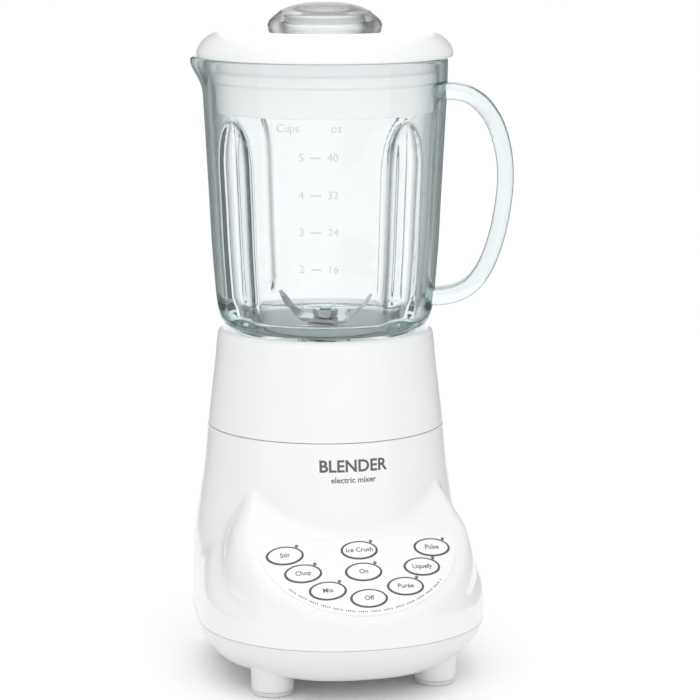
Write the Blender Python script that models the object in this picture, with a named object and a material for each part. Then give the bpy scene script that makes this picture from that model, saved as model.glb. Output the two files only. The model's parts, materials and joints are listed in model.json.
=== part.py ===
"""Countertop blender: motor base, glass jar on its blade collar, lid and measuring cap.

Sizes are in millimetres and become metres when a mesh is made. The object is laid out round the
drive axis, on which the motor, the blades, the jar and the lid all stand. The front is -Y, and an
angle in plan is counted from the front towards +X.
"""

import math

import bmesh
import bpy
from mathutils import Matrix, Vector

MM = 0.001
GAP = 0.3                      # air between two pieces that touch on the real object
RINGS = 28                     # facets round the collar, the lid and the seals between them
JAR_FACETS = 40

# Frame: where the drive axis stands, with the middle of the whole box at the origin.
AXIS_X = -12.02
AXIS_Y = 16.0
JAR_TURN = math.radians(-17.0)  # the jar's handle points this far round from +X

# Base: skirt outline in plan, tower and seam.
SKIRT_HALF_WIDTH = 81.4
SKIRT_WIDEST_AT = 39.0         # distance of the widest line in front of the drive axis
SKIRT_FRONT = 115.0
SKIRT_REAR = 79.5
SKIRT_POWER = 2.1
SHOULDER_START = 46.0          # height above which the skirt rounds inward
SHOULDER_RISE = 31.0
SHOULDER_FRONT = 0.060
SHOULDER_SIDE = 0.103
TOWER_PROFILE = ((33.0, 78.0), (50.0, 77.9), (75.0, 77.4), (92.0, 74.5), (104.0, 72.3),
                 (116.0, 70.5), (139.5, 68.2))
SEAM_Z = 33.5
TOWER_TOP = 139.5
PLATEAU_TOP = 148.0
PLATEAU_RADIUS = 58.0
COVER_BOTTOM = 12.0
COVER_PROFILE = ((33.3, 1.0), (26.0, 0.98), (18.5, 0.93), (13.8, 0.885), (12.0, 0.85))
WALL = 2.8
VENTS = 6
SHAFT_HOLE = 9.0
SEAM_GAP = 0.2                 # each shell stops this far from the seam
SIDE_START = math.radians(42.0)  # the shoulder's fall changes from front to side over this arc
SIDE_SPAN = math.radians(18.0)

# Control panel: a crowned slope on the front of the base.
PANEL_TILT = math.radians(43.23)
PANEL_TOP_Y = 76.5             # distance of the panel's top edge in front of the drive axis
PANEL_TOP_Z = 87.7
PANEL_CROWN_RADIUS = 521.5
ROLL_WIDE = 61.0               # half width of the slope that stays unrolled, at the panel's height
ROLL_NARROW = 48.0             # the same at the top of the pod
ROLL_START_Z = 87.0
ROLL_RISE = 16.0
ROLL_STRENGTH = 0.04
POD_WALL = 3.6                 # shell thickness under the slope, square to it
POD_EDGE_BLEND = 3.0
CREASE_BLEND = 4.0
PANEL_HALF_WIDTH = 57.0
PANEL_DEPTH = 50.5
OVERLAY_THICK = 1.2
PLATE_CORNER = 3.0
CUT_ABOVE = 8.0                # how far a cutter stands clear of the face it cuts
CUT_BELOW = -9.0
LEDGE_INSET = 2.2
BUTTON_HALF = (10.35, 5.8)
BUTTONS = {"stir": (-42.0, 8.2), "chop": (-33.8, 20.8), "mix": (-22.0, 33.2),
           "ice_crush": (0.0, 8.4), "on": (0.0, 22.6), "off": (0.0, 39.8),
           "pulse": (42.0, 8.2), "liquify": (33.8, 20.8), "puree": (22.0, 33.2)}

# Feet and the screws that hold the bottom cover: (across, forward) from the drive axis.
FEET = {"front_left": (-47.0, 71.0), "front_right": (47.0, 71.0),
        "rear_left": (-41.0, -41.0), "rear_right": (41.0, -41.0)}
HOUSING_SCREWS = {"front_left": (-24.0, 84.0), "front_right": (24.0, 84.0),
                  "rear_left": (-60.0, -8.0), "rear_right": (60.0, -8.0)}
POST_LOW, POST_TOP, POST_HOLE_TOP = 22.3, 56.0, 50.0
RIB_LOW, RIB_TOP = 36.0, 52.0
GLAND_Z = 46.0
GLAND_BORE = 7.0
COVER_FLOOR = 2.6

# Motor.
SHAFT_RADIUS = 4.0
ROTOR_BORE = SHAFT_RADIUS + GAP
STACK_LOW, STACK_HIGH = 74.0, 108.0
STATOR_BORE = 17.0
MOTOR_SCREW_X = 36.0
MOTOR_POST_LOW, MOTOR_POST_TOP, MOTOR_POST_HOLE_TOP = 122.4, 146.5, 141.0
LEG_RADIUS = 5.0
LEG_HOLE = 2.5
HUB_RADIUS = 12.5
HUB_BORE = 5.0
BEARING_SEAT = 9.3
BRACKET_RADIUS = 44.0
BRACKET_LOW_Z = 46.0
BRACKET_HIGH_Z = 118.0
BRACKET_THICK = 4.0

# Jar, collar and blades.
COLLAR_BOTTOM = 139.8
COLLAR_TOP = 195.0
NECK_BOTTOM = 176.0
JAR_FLOOR = 196.5
JAR_TOP = 350.0
GLASS = 4.5
JAR_PROFILE = ((198.5, 58.0), (203.0, 60.6), (210.0, 62.4), (228.0, 64.0), (245.0, 65.2), (268.0, 66.3),
               (291.0, 67.5), (305.0, 68.3), (318.0, 69.0), (332.0, 69.7), (342.0, 70.0))
FLUTE_HALF_WIDTH = math.radians(12.0)
FLUTE_DEPTH = 5.5
FLUTE_LOW, FLUTE_HIGH = 197.0, 317.0
SPOUT_REACH = 7.2
SPOUT_HALF_WIDTH = math.radians(20.0)
SPOUT_START = 330.0
HANDLE_PATH = ((60.4, 213.4), (67.0, 213.6), (76.5, 215.8), (85.5, 221.8), (93.5, 234.5), (99.6, 254.0),
               (102.8, 276.0), (102.4, 291.0), (98.6, 309.5), (92.0, 321.5), (82.0, 328.6), (74.0, 330.6),
               (66.8, 331.0))
HANDLE_SECTION = (9.5, 22.0)
BLADE_SHAFT_RADIUS = 3.5
BLADE_PLATE = 1.5

# Lid and cap.
LID_UNDER = 350.4
LID_CREST = 366.0
CAP_TOP = 381.0

FINISHES = {
    "white_plastic": ((0.86, 0.87, 0.87), 0.22, 0.0, 1.0),
    "panel_film": ((0.9, 0.91, 0.92), 0.3, 0.0, 1.0),
    "clear_plastic": ((0.86, 0.88, 0.88), 0.08, 0.0, 0.35),
    "glass": ((0.78, 0.84, 0.82), 0.03, 0.0, 0.35),
    "grey_plastic": ((0.45, 0.46, 0.47), 0.4, 0.0, 1.0),
    "black_plastic": ((0.05, 0.05, 0.055), 0.45, 0.0, 1.0),
    "rubber": ((0.09, 0.09, 0.09), 0.8, 0.0, 1.0),
    "white_rubber": ((0.82, 0.82, 0.81), 0.6, 0.0, 1.0),
    "steel": ((0.62, 0.63, 0.64), 0.25, 1.0, 1.0),
    "lamination": ((0.28, 0.29, 0.31), 0.5, 1.0, 1.0),
    "copper": ((0.72, 0.36, 0.18), 0.35, 1.0, 1.0),
    "bronze": ((0.6, 0.42, 0.22), 0.45, 1.0, 1.0),
    "carbon": ((0.07, 0.07, 0.075), 0.65, 0.0, 1.0),
    "board": ((0.04, 0.22, 0.1), 0.45, 0.0, 1.0),
}


# ---------------------------------------------------------------- meshes

def clear_scene():
    """Remove every object, so the model starts empty."""
    for item in list(bpy.data.objects):
        bpy.data.objects.remove(item, do_unlink=True)


def material(name):
    """Return the material of a finish, made on first use."""
    if name in bpy.data.materials:
        return bpy.data.materials[name]
    colour, roughness, metallic, alpha = FINISHES[name]
    new = bpy.data.materials.new(name)
    new.use_nodes = True
    shader = new.node_tree.nodes["Principled BSDF"]
    shader.inputs["Base Color"].default_value = (*colour, 1.0)
    shader.inputs["Roughness"].default_value = roughness
    shader.inputs["Metallic"].default_value = metallic
    shader.inputs["Alpha"].default_value = alpha
    return new


def skin(rings, closed=False):
    """Return a mesh over rings of points. A ring of one point is a pole. Closed joins last to first."""
    mesh = bmesh.new()
    rows = [[mesh.verts.new(point) for point in ring] for ring in rings]
    pairs = list(zip(rows, rows[1:]))
    if closed:
        pairs.append((rows[-1], rows[0]))
    for low, high in pairs:
        count = max(len(low), len(high))
        for i in range(count):
            j = (i + 1) % count
            corners = [low[i % len(low)], low[j % len(low)], high[j % len(high)], high[i % len(high)]]
            mesh.faces.new(list(dict.fromkeys(corners)))
    if not closed:
        for row in (rows[0], rows[-1]):
            if len(row) > 2:
                mesh.faces.new(row)
    bmesh.ops.recalc_face_normals(mesh, faces=mesh.faces)
    return mesh


def put(name, mesh, finish, parent=None, sharp=30.0):
    """Turn a mesh in millimetres into a smooth-shaded object."""
    bmesh.ops.scale(mesh, vec=(MM, MM, MM), verts=mesh.verts)
    data = bpy.data.meshes.new(name)
    mesh.to_mesh(data)
    mesh.free()
    data.shade_smooth()
    data.set_sharp_from_angle(angle=math.radians(sharp))
    item = bpy.data.objects.new(name, data)
    bpy.context.collection.objects.link(item)
    if finish:
        data.materials.append(material(finish))
    item.parent = parent
    return item


def circle(radius, z, segments, centre=(0.0, 0.0)):
    """Return a ring of points round a vertical axis."""
    if radius == 0.0:
        return [Vector((centre[0], centre[1], z))]
    turns = [2.0 * math.pi * i / segments for i in range(segments)]
    return [Vector((centre[0] + radius * math.cos(t), centre[1] + radius * math.sin(t), z)) for t in turns]


def turned(profile, segments=20, centre=(0.0, 0.0)):
    """Return a turned solid from (radius, z) points: closed round a hole, or from pole to pole."""
    poles = profile[0][0] == 0.0
    return skin([circle(r, z, segments, centre) for r, z in profile], closed=not poles)


def rounded_rectangle(half_x, half_y, radius, steps=3):
    """Return the points of a rectangle with round corners, anticlockwise."""
    points = []
    for quarter, (sx, sy) in enumerate(((1, 1), (-1, 1), (-1, -1), (1, -1))):
        middle = Vector((sx * (half_x - radius), sy * (half_y - radius)))
        for step in range(steps + 1):
            turn = math.pi / 2 * (quarter + step / steps)
            points.append(middle + radius * Vector((math.cos(turn), math.sin(turn))))
    return points


def prism(outline, low, high):
    """Return a solid with a flat outline between two heights."""
    return skin([[Vector((p[0], p[1], z)) for p in outline] for z in (low, high)])


def block(low, high):
    """Return a box between two corners."""
    outline = ((low[0], low[1]), (high[0], low[1]), (high[0], high[1]), (low[0], high[1]))
    return prism(outline, low[2], high[2])


def shape(item, mesh, operation, name, parent=None):
    """Cut a mesh out of an object, or join it on, with an exact Boolean."""
    tool = put(name, mesh, None, parent or item.parent)
    tool.hide_render = True
    tool.display_type = 'WIRE'
    step = item.modifiers.new(name, 'BOOLEAN')
    step.operation = operation
    step.solver = 'EXACT'
    step.object = tool
    return tool


def cut(item, mesh, name, parent=None):
    """Cut a mesh out of an object."""
    return shape(item, mesh, 'DIFFERENCE', name, parent)


def join(item, mesh, name, parent=None):
    """Join a mesh on to an object."""
    return shape(item, mesh, 'UNION', name, parent)


def on_profile(profile, z):
    """Read a table of (z, value) at a height, along straight lines."""
    rows = sorted(profile)
    if z <= rows[0][0]:
        return rows[0][1]
    for (z0, v0), (z1, v1) in zip(rows, rows[1:]):
        if z <= z1:
            return v0 + (v1 - v0) * (z - z0) / (z1 - z0)
    return rows[-1][1]


def soft_max(a, b, blend):
    """Return the larger of two values, rounded over where they meet."""
    overlap = max(blend - abs(a - b), 0.0)
    return max(a, b) + overlap * overlap / (4.0 * blend)


def soft_min(a, b, blend):
    """Return the smaller of two values, rounded over where they meet."""
    return -soft_max(-a, -b, blend)


def smooth_step(value):
    """Ease from 0 to 1."""
    value = min(max(value, 0.0), 1.0)
    return value * value * (3.0 - 2.0 * value)


# ---------------------------------------------------------------- base surfaces

def plan_radius(angle):
    """Return the skirt's radius from the drive axis at an angle from the front."""
    near, far = 20.0, 160.0
    for _ in range(40):
        radius = (near + far) / 2.0
        forward = radius * math.cos(angle) - SKIRT_WIDEST_AT
        if forward > 0.0:
            depth, power = SKIRT_FRONT - SKIRT_WIDEST_AT, SKIRT_POWER
        else:
            depth, power = SKIRT_REAR + SKIRT_WIDEST_AT, 2.0
        across = abs(radius * math.sin(angle)) / SKIRT_HALF_WIDTH
        if across ** power + (abs(forward) / depth) ** power > 1.0:
            far = radius
        else:
            near = radius
    return near


def skirt_radius(angle, z):
    """Return the skirt's radius, with its rounded shoulder."""
    side = smooth_step((abs(angle) - SIDE_START) / SIDE_SPAN)
    fall = SHOULDER_FRONT + (SHOULDER_SIDE - SHOULDER_FRONT) * side
    rise = max(z - SHOULDER_START, 0.0) / SHOULDER_RISE
    return plan_radius(angle) * (1.0 - fall * rise * rise)


def slope_drop(across, z):
    """Return how far the slope lies below its flat middle: its crown, and its roll-off above the panel."""
    edge = ROLL_WIDE - (ROLL_WIDE - ROLL_NARROW) * smooth_step((z - ROLL_START_Z) / ROLL_RISE)
    roll = ROLL_STRENGTH * max(across - edge, 0.0) ** 2 * smooth_step((z - ROLL_START_Z) / (ROLL_RISE / 2.0))
    return across * across / (2.0 * PANEL_CROWN_RADIUS) + roll


def slope_radius(angle, z, depth):
    """Return the radius at which the crowned panel slope is met, depth below its surface."""
    reach = PANEL_TOP_Y + (PANEL_TOP_Z - z) / math.tan(PANEL_TILT) - depth / math.sin(PANEL_TILT)
    near, far = 10.0, 260.0
    for _ in range(30):
        radius = (near + far) / 2.0
        drop = slope_drop(abs(radius * math.sin(angle)), z)
        if radius * math.cos(angle) + drop / math.sin(PANEL_TILT) > reach:
            far = radius
        else:
            near = radius
    return near


def base_radius(angle, z, wall=0.0, panel_wall=0.0):
    """Return the radius of the base shell: the tower, joined with the pod cut by its slope."""
    pod = soft_min(slope_radius(angle, z, panel_wall), skirt_radius(angle, z) - wall, POD_EDGE_BLEND)
    return soft_max(on_profile(TOWER_PROFILE, z) - wall, pod, CREASE_BLEND)


def plan_ring(radius_at, z, segments=36):
    """Return a ring whose radius depends on the angle from the front."""
    ring = []
    for i in range(segments):
        angle = 2.0 * math.pi * i / segments
        angle = angle - 2.0 * math.pi if angle > math.pi else angle
        radius = radius_at(angle, z)
        ring.append(Vector((radius * math.sin(angle), -radius * math.cos(angle), z)))
    return ring


def cover_radius(angle, z, wall=0.0):
    """Return the radius of the bottom cover, which rounds in towards the underside."""
    rim = base_radius(angle, SEAM_Z) - wall
    return rim * on_profile(COVER_PROFILE, z)


# ---------------------------------------------------------------- base shells

def screw_boss(low, top, hole_top, centre, radius=5.0, hole=2.0):
    """Return a post with a blind hole from below."""
    profile = ((0.0, top), (radius, top), (radius, low), (hole, low), (hole, hole_top), (0.0, hole_top))
    return turned(profile, 12, centre)


def radial_rib(centre, reach, low, high):
    """Return an upright rib from a post out to the wall."""
    across, forward = centre
    start = Vector((across, -forward))
    outward = start.normalized()
    side = Vector((-outward.y, outward.x))
    inner, outer = start + outward * 4.0, outward * reach
    outline = (inner - side, outer - side, outer + side, inner + side)
    return prism(outline, low, high)


def panel_plate(half_width, depth, top, low, high, columns=18, crowned=(1, 1)):
    """Return a D-shaped plate between two depths, whose under and upper faces may follow the crown."""
    rings = []
    for i in range(columns + 1):
        across = half_width * math.sin(math.radians(85.0) * (2.0 * i / columns - 1.0))
        corner = max(abs(across) - (half_width - PLATE_CORNER), 0.0)
        edge = -top - (PLATE_CORNER - math.sqrt(PLATE_CORNER ** 2 - corner * corner))
        foot = -depth * math.sqrt(1.0 - (across / half_width) ** 2)
        crown = -across * across / (2.0 * PANEL_CROWN_RADIUS)
        under, over = low + crown * crowned[0], high + crown * crowned[1]
        rings.append([Vector((across, y, z)) for y, z in
                      ((edge, under), (foot, under), (foot, over), (edge, over))])
    return skin(rings)


def make_housing(root, panel):
    """White shell of the base: tower, skirt and pod, with its deck, posts and panel window."""
    outer = [plan_ring(base_radius, z) for z in
             (SEAM_Z + SEAM_GAP, 47, 56, 66, 76, 87, 98, 109, TOWER_TOP)]
    deck = [(PLATEAU_RADIUS + 0.6, TOWER_TOP), (PLATEAU_RADIUS - 0.6, PLATEAU_TOP),
            (SHAFT_HOLE, PLATEAU_TOP), (SHAFT_HOLE, PLATEAU_TOP - WALL),
            (PLATEAU_RADIUS - 3.4, PLATEAU_TOP - WALL), (PLATEAU_RADIUS - 2.2, TOWER_TOP - WALL)]
    middle = [plan_ring(lambda angle, z, r=r: r, z) for r, z in deck]
    inner = [plan_ring(lambda angle, z: base_radius(angle, z, WALL, POD_WALL), z) for z in
             (TOWER_TOP - WALL, 104, 84, 64, 47, SEAM_Z + SEAM_GAP)]
    housing = put("housing", skin(outer + middle + inner, closed=True), "white_plastic", root)
    for name, (across, forward) in HOUSING_SCREWS.items():
        reach = base_radius(math.atan2(across, forward), RIB_TOP) - WALL / 2.0
        join(housing, screw_boss(POST_LOW, POST_TOP, POST_HOLE_TOP, (across, -forward)), "post_" + name)
        join(housing, radial_rib((across, forward), reach, RIB_LOW, RIB_TOP), "rib_" + name)
    for side in (-1, 1):
        post = screw_boss(MOTOR_POST_LOW, MOTOR_POST_TOP, MOTOR_POST_HOLE_TOP,
                          (side * MOTOR_SCREW_X, 0.0), LEG_RADIUS, 2.4)
        join(housing, post, "motor_post_%d" % side)
    seat = panel_plate(PANEL_HALF_WIDTH + GAP, PANEL_DEPTH + GAP, -GAP, -OVERLAY_THICK - GAP, CUT_ABOVE)
    cut(housing, seat, "overlay_seat", panel)
    window = panel_plate(PANEL_HALF_WIDTH - LEDGE_INSET, PANEL_DEPTH - LEDGE_INSET, 0.9, CUT_BELOW,
                          CUT_ABOVE / 2.0)
    cut(housing, window, "panel_window", panel)
    bore = turned(((0.0, -90.0), (GLAND_BORE, -90.0), (GLAND_BORE, -70.0), (0.0, -70.0)), 16)
    bmesh.ops.rotate(bore, matrix=Matrix.Rotation(math.pi / 2, 3, 'X'), verts=bore.verts)
    bmesh.ops.translate(bore, vec=(0.0, 0.0, GLAND_Z), verts=bore.verts)
    cut(housing, bore, "gland_hole")
    return housing


def make_bottom_cover(root):
    """Lower band and floor of the base, with foot stubs, screw posts and vents."""
    outer = [plan_ring(cover_radius, z) for z, _ in COVER_PROFILE]
    floor = COVER_BOTTOM + COVER_FLOOR
    inner = [plan_ring(lambda angle, z: cover_radius(angle, z, WALL), z)
             for z in (floor, 19.0, SEAM_Z - SEAM_GAP)]
    rings = [circle(0.0, floor, 1)] + inner + outer + [circle(0.0, COVER_BOTTOM, 1)]
    cover = put("bottom_cover", skin(rings), "white_plastic", root)
    for name, (across, forward) in FEET.items():
        stub = ((0.0, 17.5), (12.5, 17.5), (12.5, 7.0), (11.0, 3.9), (9.0, 3.2), (9.0, 5.4), (0.0, 5.4))
        join(cover, turned(stub, 14, (across, -forward)), "stub_" + name)
    for name, (across, forward) in HOUSING_SCREWS.items():
        place = (across, -forward)
        join(cover, turned(((0.0, 22.0), (6.2, 22.0), (6.2, 12.6), (0.0, 12.6)), 12, place), "boss_" + name)
        well = ((0.0, 40.0), (2.1, 40.0), (2.1, 17.4), (4.2, 17.4), (4.2, 2.0), (0.0, 2.0))
        cut(cover, turned(well, 12, place), "well_" + name)
    for i in range(VENTS):
        slot = prism(rounded_rectangle(9.0, 2.2, 2.1, 1), 8.0, 18.0)
        bmesh.ops.translate(slot, vec=(30.0, 0.0, 0.0), verts=slot.verts)
        bmesh.ops.rotate(slot, matrix=Matrix.Rotation(math.tau * i / VENTS, 3, 'Z'), verts=slot.verts)
        cut(cover, slot, "vent_%d" % i)
    return cover


def make_feet(root):
    """Four round pads, each pressed into its stub."""
    for name, (across, forward) in FEET.items():
        pad = ((0.0, 5.0), (8.6, 5.0), (8.6, 1.2), (7.6, 0.0), (0.0, 0.0))
        put("foot_pad_" + name, turned(pad, 14, (across, -forward)), "white_rubber", root)


def make_housing_screws(root):
    """Four screws, up through the bottom cover into the housing's posts."""
    for name, (across, forward) in HOUSING_SCREWS.items():
        profile = ((0.0, 42.0), (1.1, 41.0), (1.6, 39.0), (1.6, 17.1), (3.6, 17.1), (3.6, 14.6),
                   (2.6, 13.9), (0.0, 13.9))
        put("housing_screw_" + name, turned(profile, 12, (across, -forward)), "steel", root)


def make_cord_gland(root):
    """Grommet in the rear wall, turned about the Y axis."""
    profile = ((4.0, -73.0), (8.6, -73.0), (8.6, -75.4), (6.6, -76.0), (6.6, -80.0), (8.6, -80.0),
               (8.2, -82.4), (5.6, -83.0), (4.0, -83.0))
    gland = turned(profile, 14)
    bmesh.ops.rotate(gland, matrix=Matrix.Rotation(math.pi / 2, 3, 'X'), verts=gland.verts)
    bmesh.ops.translate(gland, vec=(0.0, 0.0, GLAND_Z), verts=gland.verts)
    put("cord_gland", gland, "rubber", root)


# ---------------------------------------------------------------- control panel

def oval(half, z, segments, centre=(0.0, 0.0), crowned=True):
    """Return a ring of an ellipse that follows the panel's crown."""
    ring = []
    for i in range(segments):
        turn = math.tau * i / segments
        x, y = half[0] * math.cos(turn), half[1] * math.sin(turn)
        across = centre[0] + x
        drop = across * across / (2.0 * PANEL_CROWN_RADIUS) if crowned else 0.0
        ring.append(Vector((x, y, z - drop)))
    return ring


def make_overlay(panel):
    """D-shaped panel face with nine oval holes."""
    plate = panel_plate(PANEL_HALF_WIDTH, PANEL_DEPTH, 0.0, -OVERLAY_THICK, 0.0, 18)
    overlay = put("panel_overlay", plate, "panel_film", panel)
    half = (BUTTON_HALF[0] + GAP, BUTTON_HALF[1] + GAP)
    for name, (across, down) in BUTTONS.items():
        hole = skin([oval(half, z, 16, crowned=False) for z in (-8.0, 4.0)])
        bmesh.ops.translate(hole, vec=(across, -down, 0.0), verts=hole.verts)
        cut(overlay, hole, "hole_" + name, panel)
    return overlay


def make_button(name, panel):
    """Oval button with a flange that keeps it behind the panel face."""
    across, down = BUTTONS[name]
    centre = (across, -down)
    flange = (BUTTON_HALF[0] + 0.6, BUTTON_HALF[1] + 0.6)
    crown = across * across / (2.0 * PANEL_CROWN_RADIUS)
    rings = [[Vector((0.0, 0.0, -2.9 - crown))],
             oval(flange, -2.9, 16, centre), oval(flange, -1.7, 16, centre),
             oval(BUTTON_HALF, -1.7, 16, centre), oval(BUTTON_HALF, 0.5, 16, centre),
             [Vector((0.0, 0.0, 0.7 - crown))]]
    button = put("button_" + name, skin(rings), "panel_film", panel)
    button.location = Vector((across, -down, 0.0)) * MM


def make_panel_electronics(panel):
    """Rubber mat under the buttons and the circuit board behind it."""
    mat = panel_plate(PANEL_HALF_WIDTH - 2.6, PANEL_DEPTH - 3.0, 1.5, -8.9, -4.6, 14, (0, 1))
    put("keypad_membrane", mat, "rubber", panel)
    board = panel_plate(PANEL_HALF_WIDTH - 3.0, PANEL_DEPTH - 4.0, 2.0, -10.8, -9.2, 14, (0, 0))
    put("circuit_board", board, "board", panel)


# ---------------------------------------------------------------- motor

def make_motor_shaft(root):
    """Steel shaft through fan, rotor, bearings and drive coupling."""
    profile = ((0.0, 20.0), (3.4, 20.0), (SHAFT_RADIUS, 20.6), (SHAFT_RADIUS, 160.6), (3.4, 161.2), (0.0, 161.2))
    put("motor_shaft", turned(profile), "steel", root)


def make_rotor(root):
    """Slotted armature stack and the commutator under it."""
    slots = 12
    teeth = []
    for i in range(slots * 4):
        radius = 16.0 if i % 4 < 3 else 11.0
        turn = math.tau * i / (slots * 4)
        teeth.append((radius * math.cos(turn), radius * math.sin(turn)))
    low, high = STACK_LOW - 2.0, STACK_HIGH + 2.0
    rings = [[Vector((x, y, low)) for x, y in teeth], [Vector((x, y, high)) for x, y in teeth],
             circle(ROTOR_BORE, high, slots * 4), circle(ROTOR_BORE, low, slots * 4)]
    put("armature_core", skin(rings, closed=True), "lamination", root)
    profile = ((ROTOR_BORE, 56.5), (9.5, 56.5), (9.5, 66.0), (10.8, 66.0), (10.8, 68.5), (ROTOR_BORE, 68.5))
    put("commutator", turned(profile), "copper", root)


def make_stator(root):
    """Laminated field stack with two poles and windows for the coils."""
    stack = put("stator_core", prism(rounded_rectangle(41.0, 28.0, 8.0), STACK_LOW, STACK_HIGH), "lamination", root)
    low, high = STACK_LOW - 4.0, STACK_HIGH + 4.0
    cut(stack, prism(circle(STATOR_BORE, 0.0, 32), low, high), "stator_bore")
    for sx in (-1, 1):
        cut(stack, prism(circle(LEG_HOLE, 0.0, 12, (sx * MOTOR_SCREW_X, 0.0)), low, high), "stator_screw_%d" % sx)
        for sy in (-1, 1):
            window = block((min(sx * 19, sx * 31), min(sy * 12.5, sy * 22), low),
                           (max(sx * 19, sx * 31), max(sy * 12.5, sy * 22), high))
            cut(stack, window, "stator_window_%d_%d" % (sx, sy))


def make_field_coil(name, side, root):
    """Wound coil round one pole, a rounded frame standing across the X axis."""
    middle = (STACK_LOW + STACK_HIGH) / 2.0
    half = (STACK_HIGH - STACK_LOW) / 2.0
    inner = rounded_rectangle(13.0, half + 0.6, 1.0, 2)
    outer = rounded_rectangle(20.5, half + 7.6, 6.0, 2)
    near, far = side * 20.5, side * 30.5
    rings = [[Vector((x, p.x, middle + p.y)) for p in outline]
             for x, outline in ((near, outer), (far, outer), (far, inner), (near, inner))]
    put(name, skin(rings, closed=True), "copper", root)


def make_motor_bracket(name, low, hub_low, hub_high, seat, legs, root):
    """Round end bracket with a bearing seat, two legs to the stack and four windows."""
    high = low + BRACKET_THICK
    seat_low, seat_high = seat
    if seat_high == hub_high:
        start = ((HUB_BORE, hub_low),)
        end = ((BEARING_SEAT, seat_high), (BEARING_SEAT, seat_low), (HUB_BORE, seat_low))
    else:
        start = ((BEARING_SEAT, seat_low),)
        end = ((HUB_BORE, hub_high), (HUB_BORE, seat_high), (BEARING_SEAT, seat_high))
    profile = start + ((HUB_RADIUS, hub_low), (HUB_RADIUS, low), (BRACKET_RADIUS, low), (BRACKET_RADIUS, high),
                       (HUB_RADIUS, high), (HUB_RADIUS, hub_high)) + end
    bracket = put(name, turned(profile), "black_plastic", root)
    for sx in (-1, 1):
        place = (sx * MOTOR_SCREW_X, 0.0)
        join(bracket, prism(circle(LEG_RADIUS, 0.0, 12, place), *legs), "%s_leg_%d" % (name, sx))
        cut(bracket, prism(circle(LEG_HOLE, 0.0, 12, place), 30.0, 140.0), "%s_hole_%d" % (name, sx))
        for sy in (-1, 1):
            opening = prism(circle(6.0, 0.0, 8, (sx * 20.0, sy * 24.0)), low - 2.0, high + 2.0)
            cut(bracket, opening, "%s_window_%d_%d" % (name, sx, sy))


def make_bearings(root):
    """Two sintered bearings for the motor shaft."""
    for name, low, high in (("bearing_lower", 46.3, 52.7), ("bearing_upper", 116.3, 124.9)):
        profile = ((ROTOR_BORE, low), (9.0, low), (9.0, high), (ROTOR_BORE, high))
        put(name, turned(profile), "bronze", root)


def make_brush(name, holder_name, side, root):
    """Carbon brush in a square sleeve that stands on the lower bracket."""
    brush = block((-3.0, min(side * 10.0, side * 24.0), 57.5), (3.0, max(side * 10.0, side * 24.0), 65.5))
    put(name, brush, "carbon", root)
    near, far = side * 13.0, side * 31.0
    sleeve = put(holder_name, block((-5.5, min(near, far), 50.3), (5.5, max(near, far), 68.0)), "black_plastic", root)
    channel = block((-3.4, min(near, far) - 2.0, 57.1), (3.4, max(near, far) + 2.0, 65.9))
    cut(sleeve, channel, holder_name + "_channel")


def make_cooling_fan(root):
    """Fan with eight straight blades under a disc."""
    profile = ((ROTOR_BORE, 22.0), (8.0, 22.0), (8.0, 32.0), (42.0, 32.0), (42.0, 34.0), (8.0, 34.0),
               (8.0, 38.0), (ROTOR_BORE, 38.0))
    fan = put("cooling_fan", turned(profile, 24), "black_plastic", root)
    for i in range(8):
        blade = block((7.0, -0.8, 23.0), (41.0, 0.8, 32.6))
        bmesh.ops.rotate(blade, matrix=Matrix.Rotation(math.tau * i / 8, 3, 'Z'), verts=blade.verts)
        join(fan, blade, "fan_blade_%d" % i)


def make_motor_screws(root):
    """Two long screws that hang the motor from the housing's deck."""
    for name, side in (("left", -1), ("right", 1)):
        profile = ((0.0, 139.0), (2.0, 138.0), (2.0, 45.7), (4.2, 45.7), (4.2, 42.6), (3.2, 41.8), (0.0, 41.8))
        put("motor_screw_" + name, turned(profile, 12, (side * MOTOR_SCREW_X, 0.0)), "steel", root)


def star(tip, valley, teeth=6):
    """Return the outline of a drive star with blunt teeth."""
    points = []
    for i in range(teeth * 4):
        radius = tip if i % 4 in (0, 1) else valley
        turn = math.tau * (i - 0.5) / (teeth * 4)
        points.append((radius * math.cos(turn), radius * math.sin(turn)))
    return points


def make_drive_coupling(root):
    """Star on the motor shaft, and the felt seal under it."""
    outline = star(10.0, 7.0)
    rings = [[Vector((x, y, 150.4)) for x, y in outline], [Vector((x, y, 160.4)) for x, y in outline],
             circle(ROTOR_BORE, 160.4, len(outline)), circle(ROTOR_BORE, 150.4, len(outline))]
    put("drive_coupling", skin(rings, closed=True), "black_plastic", root)
    seal = ((4.6, 148.3), (13.0, 148.3), (13.0, 149.8), (4.6, 149.8))
    put("splash_seal", turned(seal), "rubber", root)


# ---------------------------------------------------------------- collar and blades

def make_locking_ring(jar):
    """White conical ring: outer skirt, inner threaded sleeve and a ledge for the blade unit."""
    profile = ((68.2, COLLAR_BOTTOM), (67.1, 150.0), (65.3, 164.0), (63.5, 179.0), (62.7, 189.0),
               (61.2, 193.6), (57.5, COLLAR_TOP), (51.5, COLLAR_TOP), (49.2, 192.5),
               (49.2, 168.0), (40.0, 168.0), (40.0, 162.4), (52.0, 162.4), (52.0, 190.5), (57.8, 190.5),
               (61.2, 164.0), (65.3, COLLAR_BOTTOM))
    put("locking_ring", turned(profile, RINGS), "white_plastic", jar)


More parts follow.
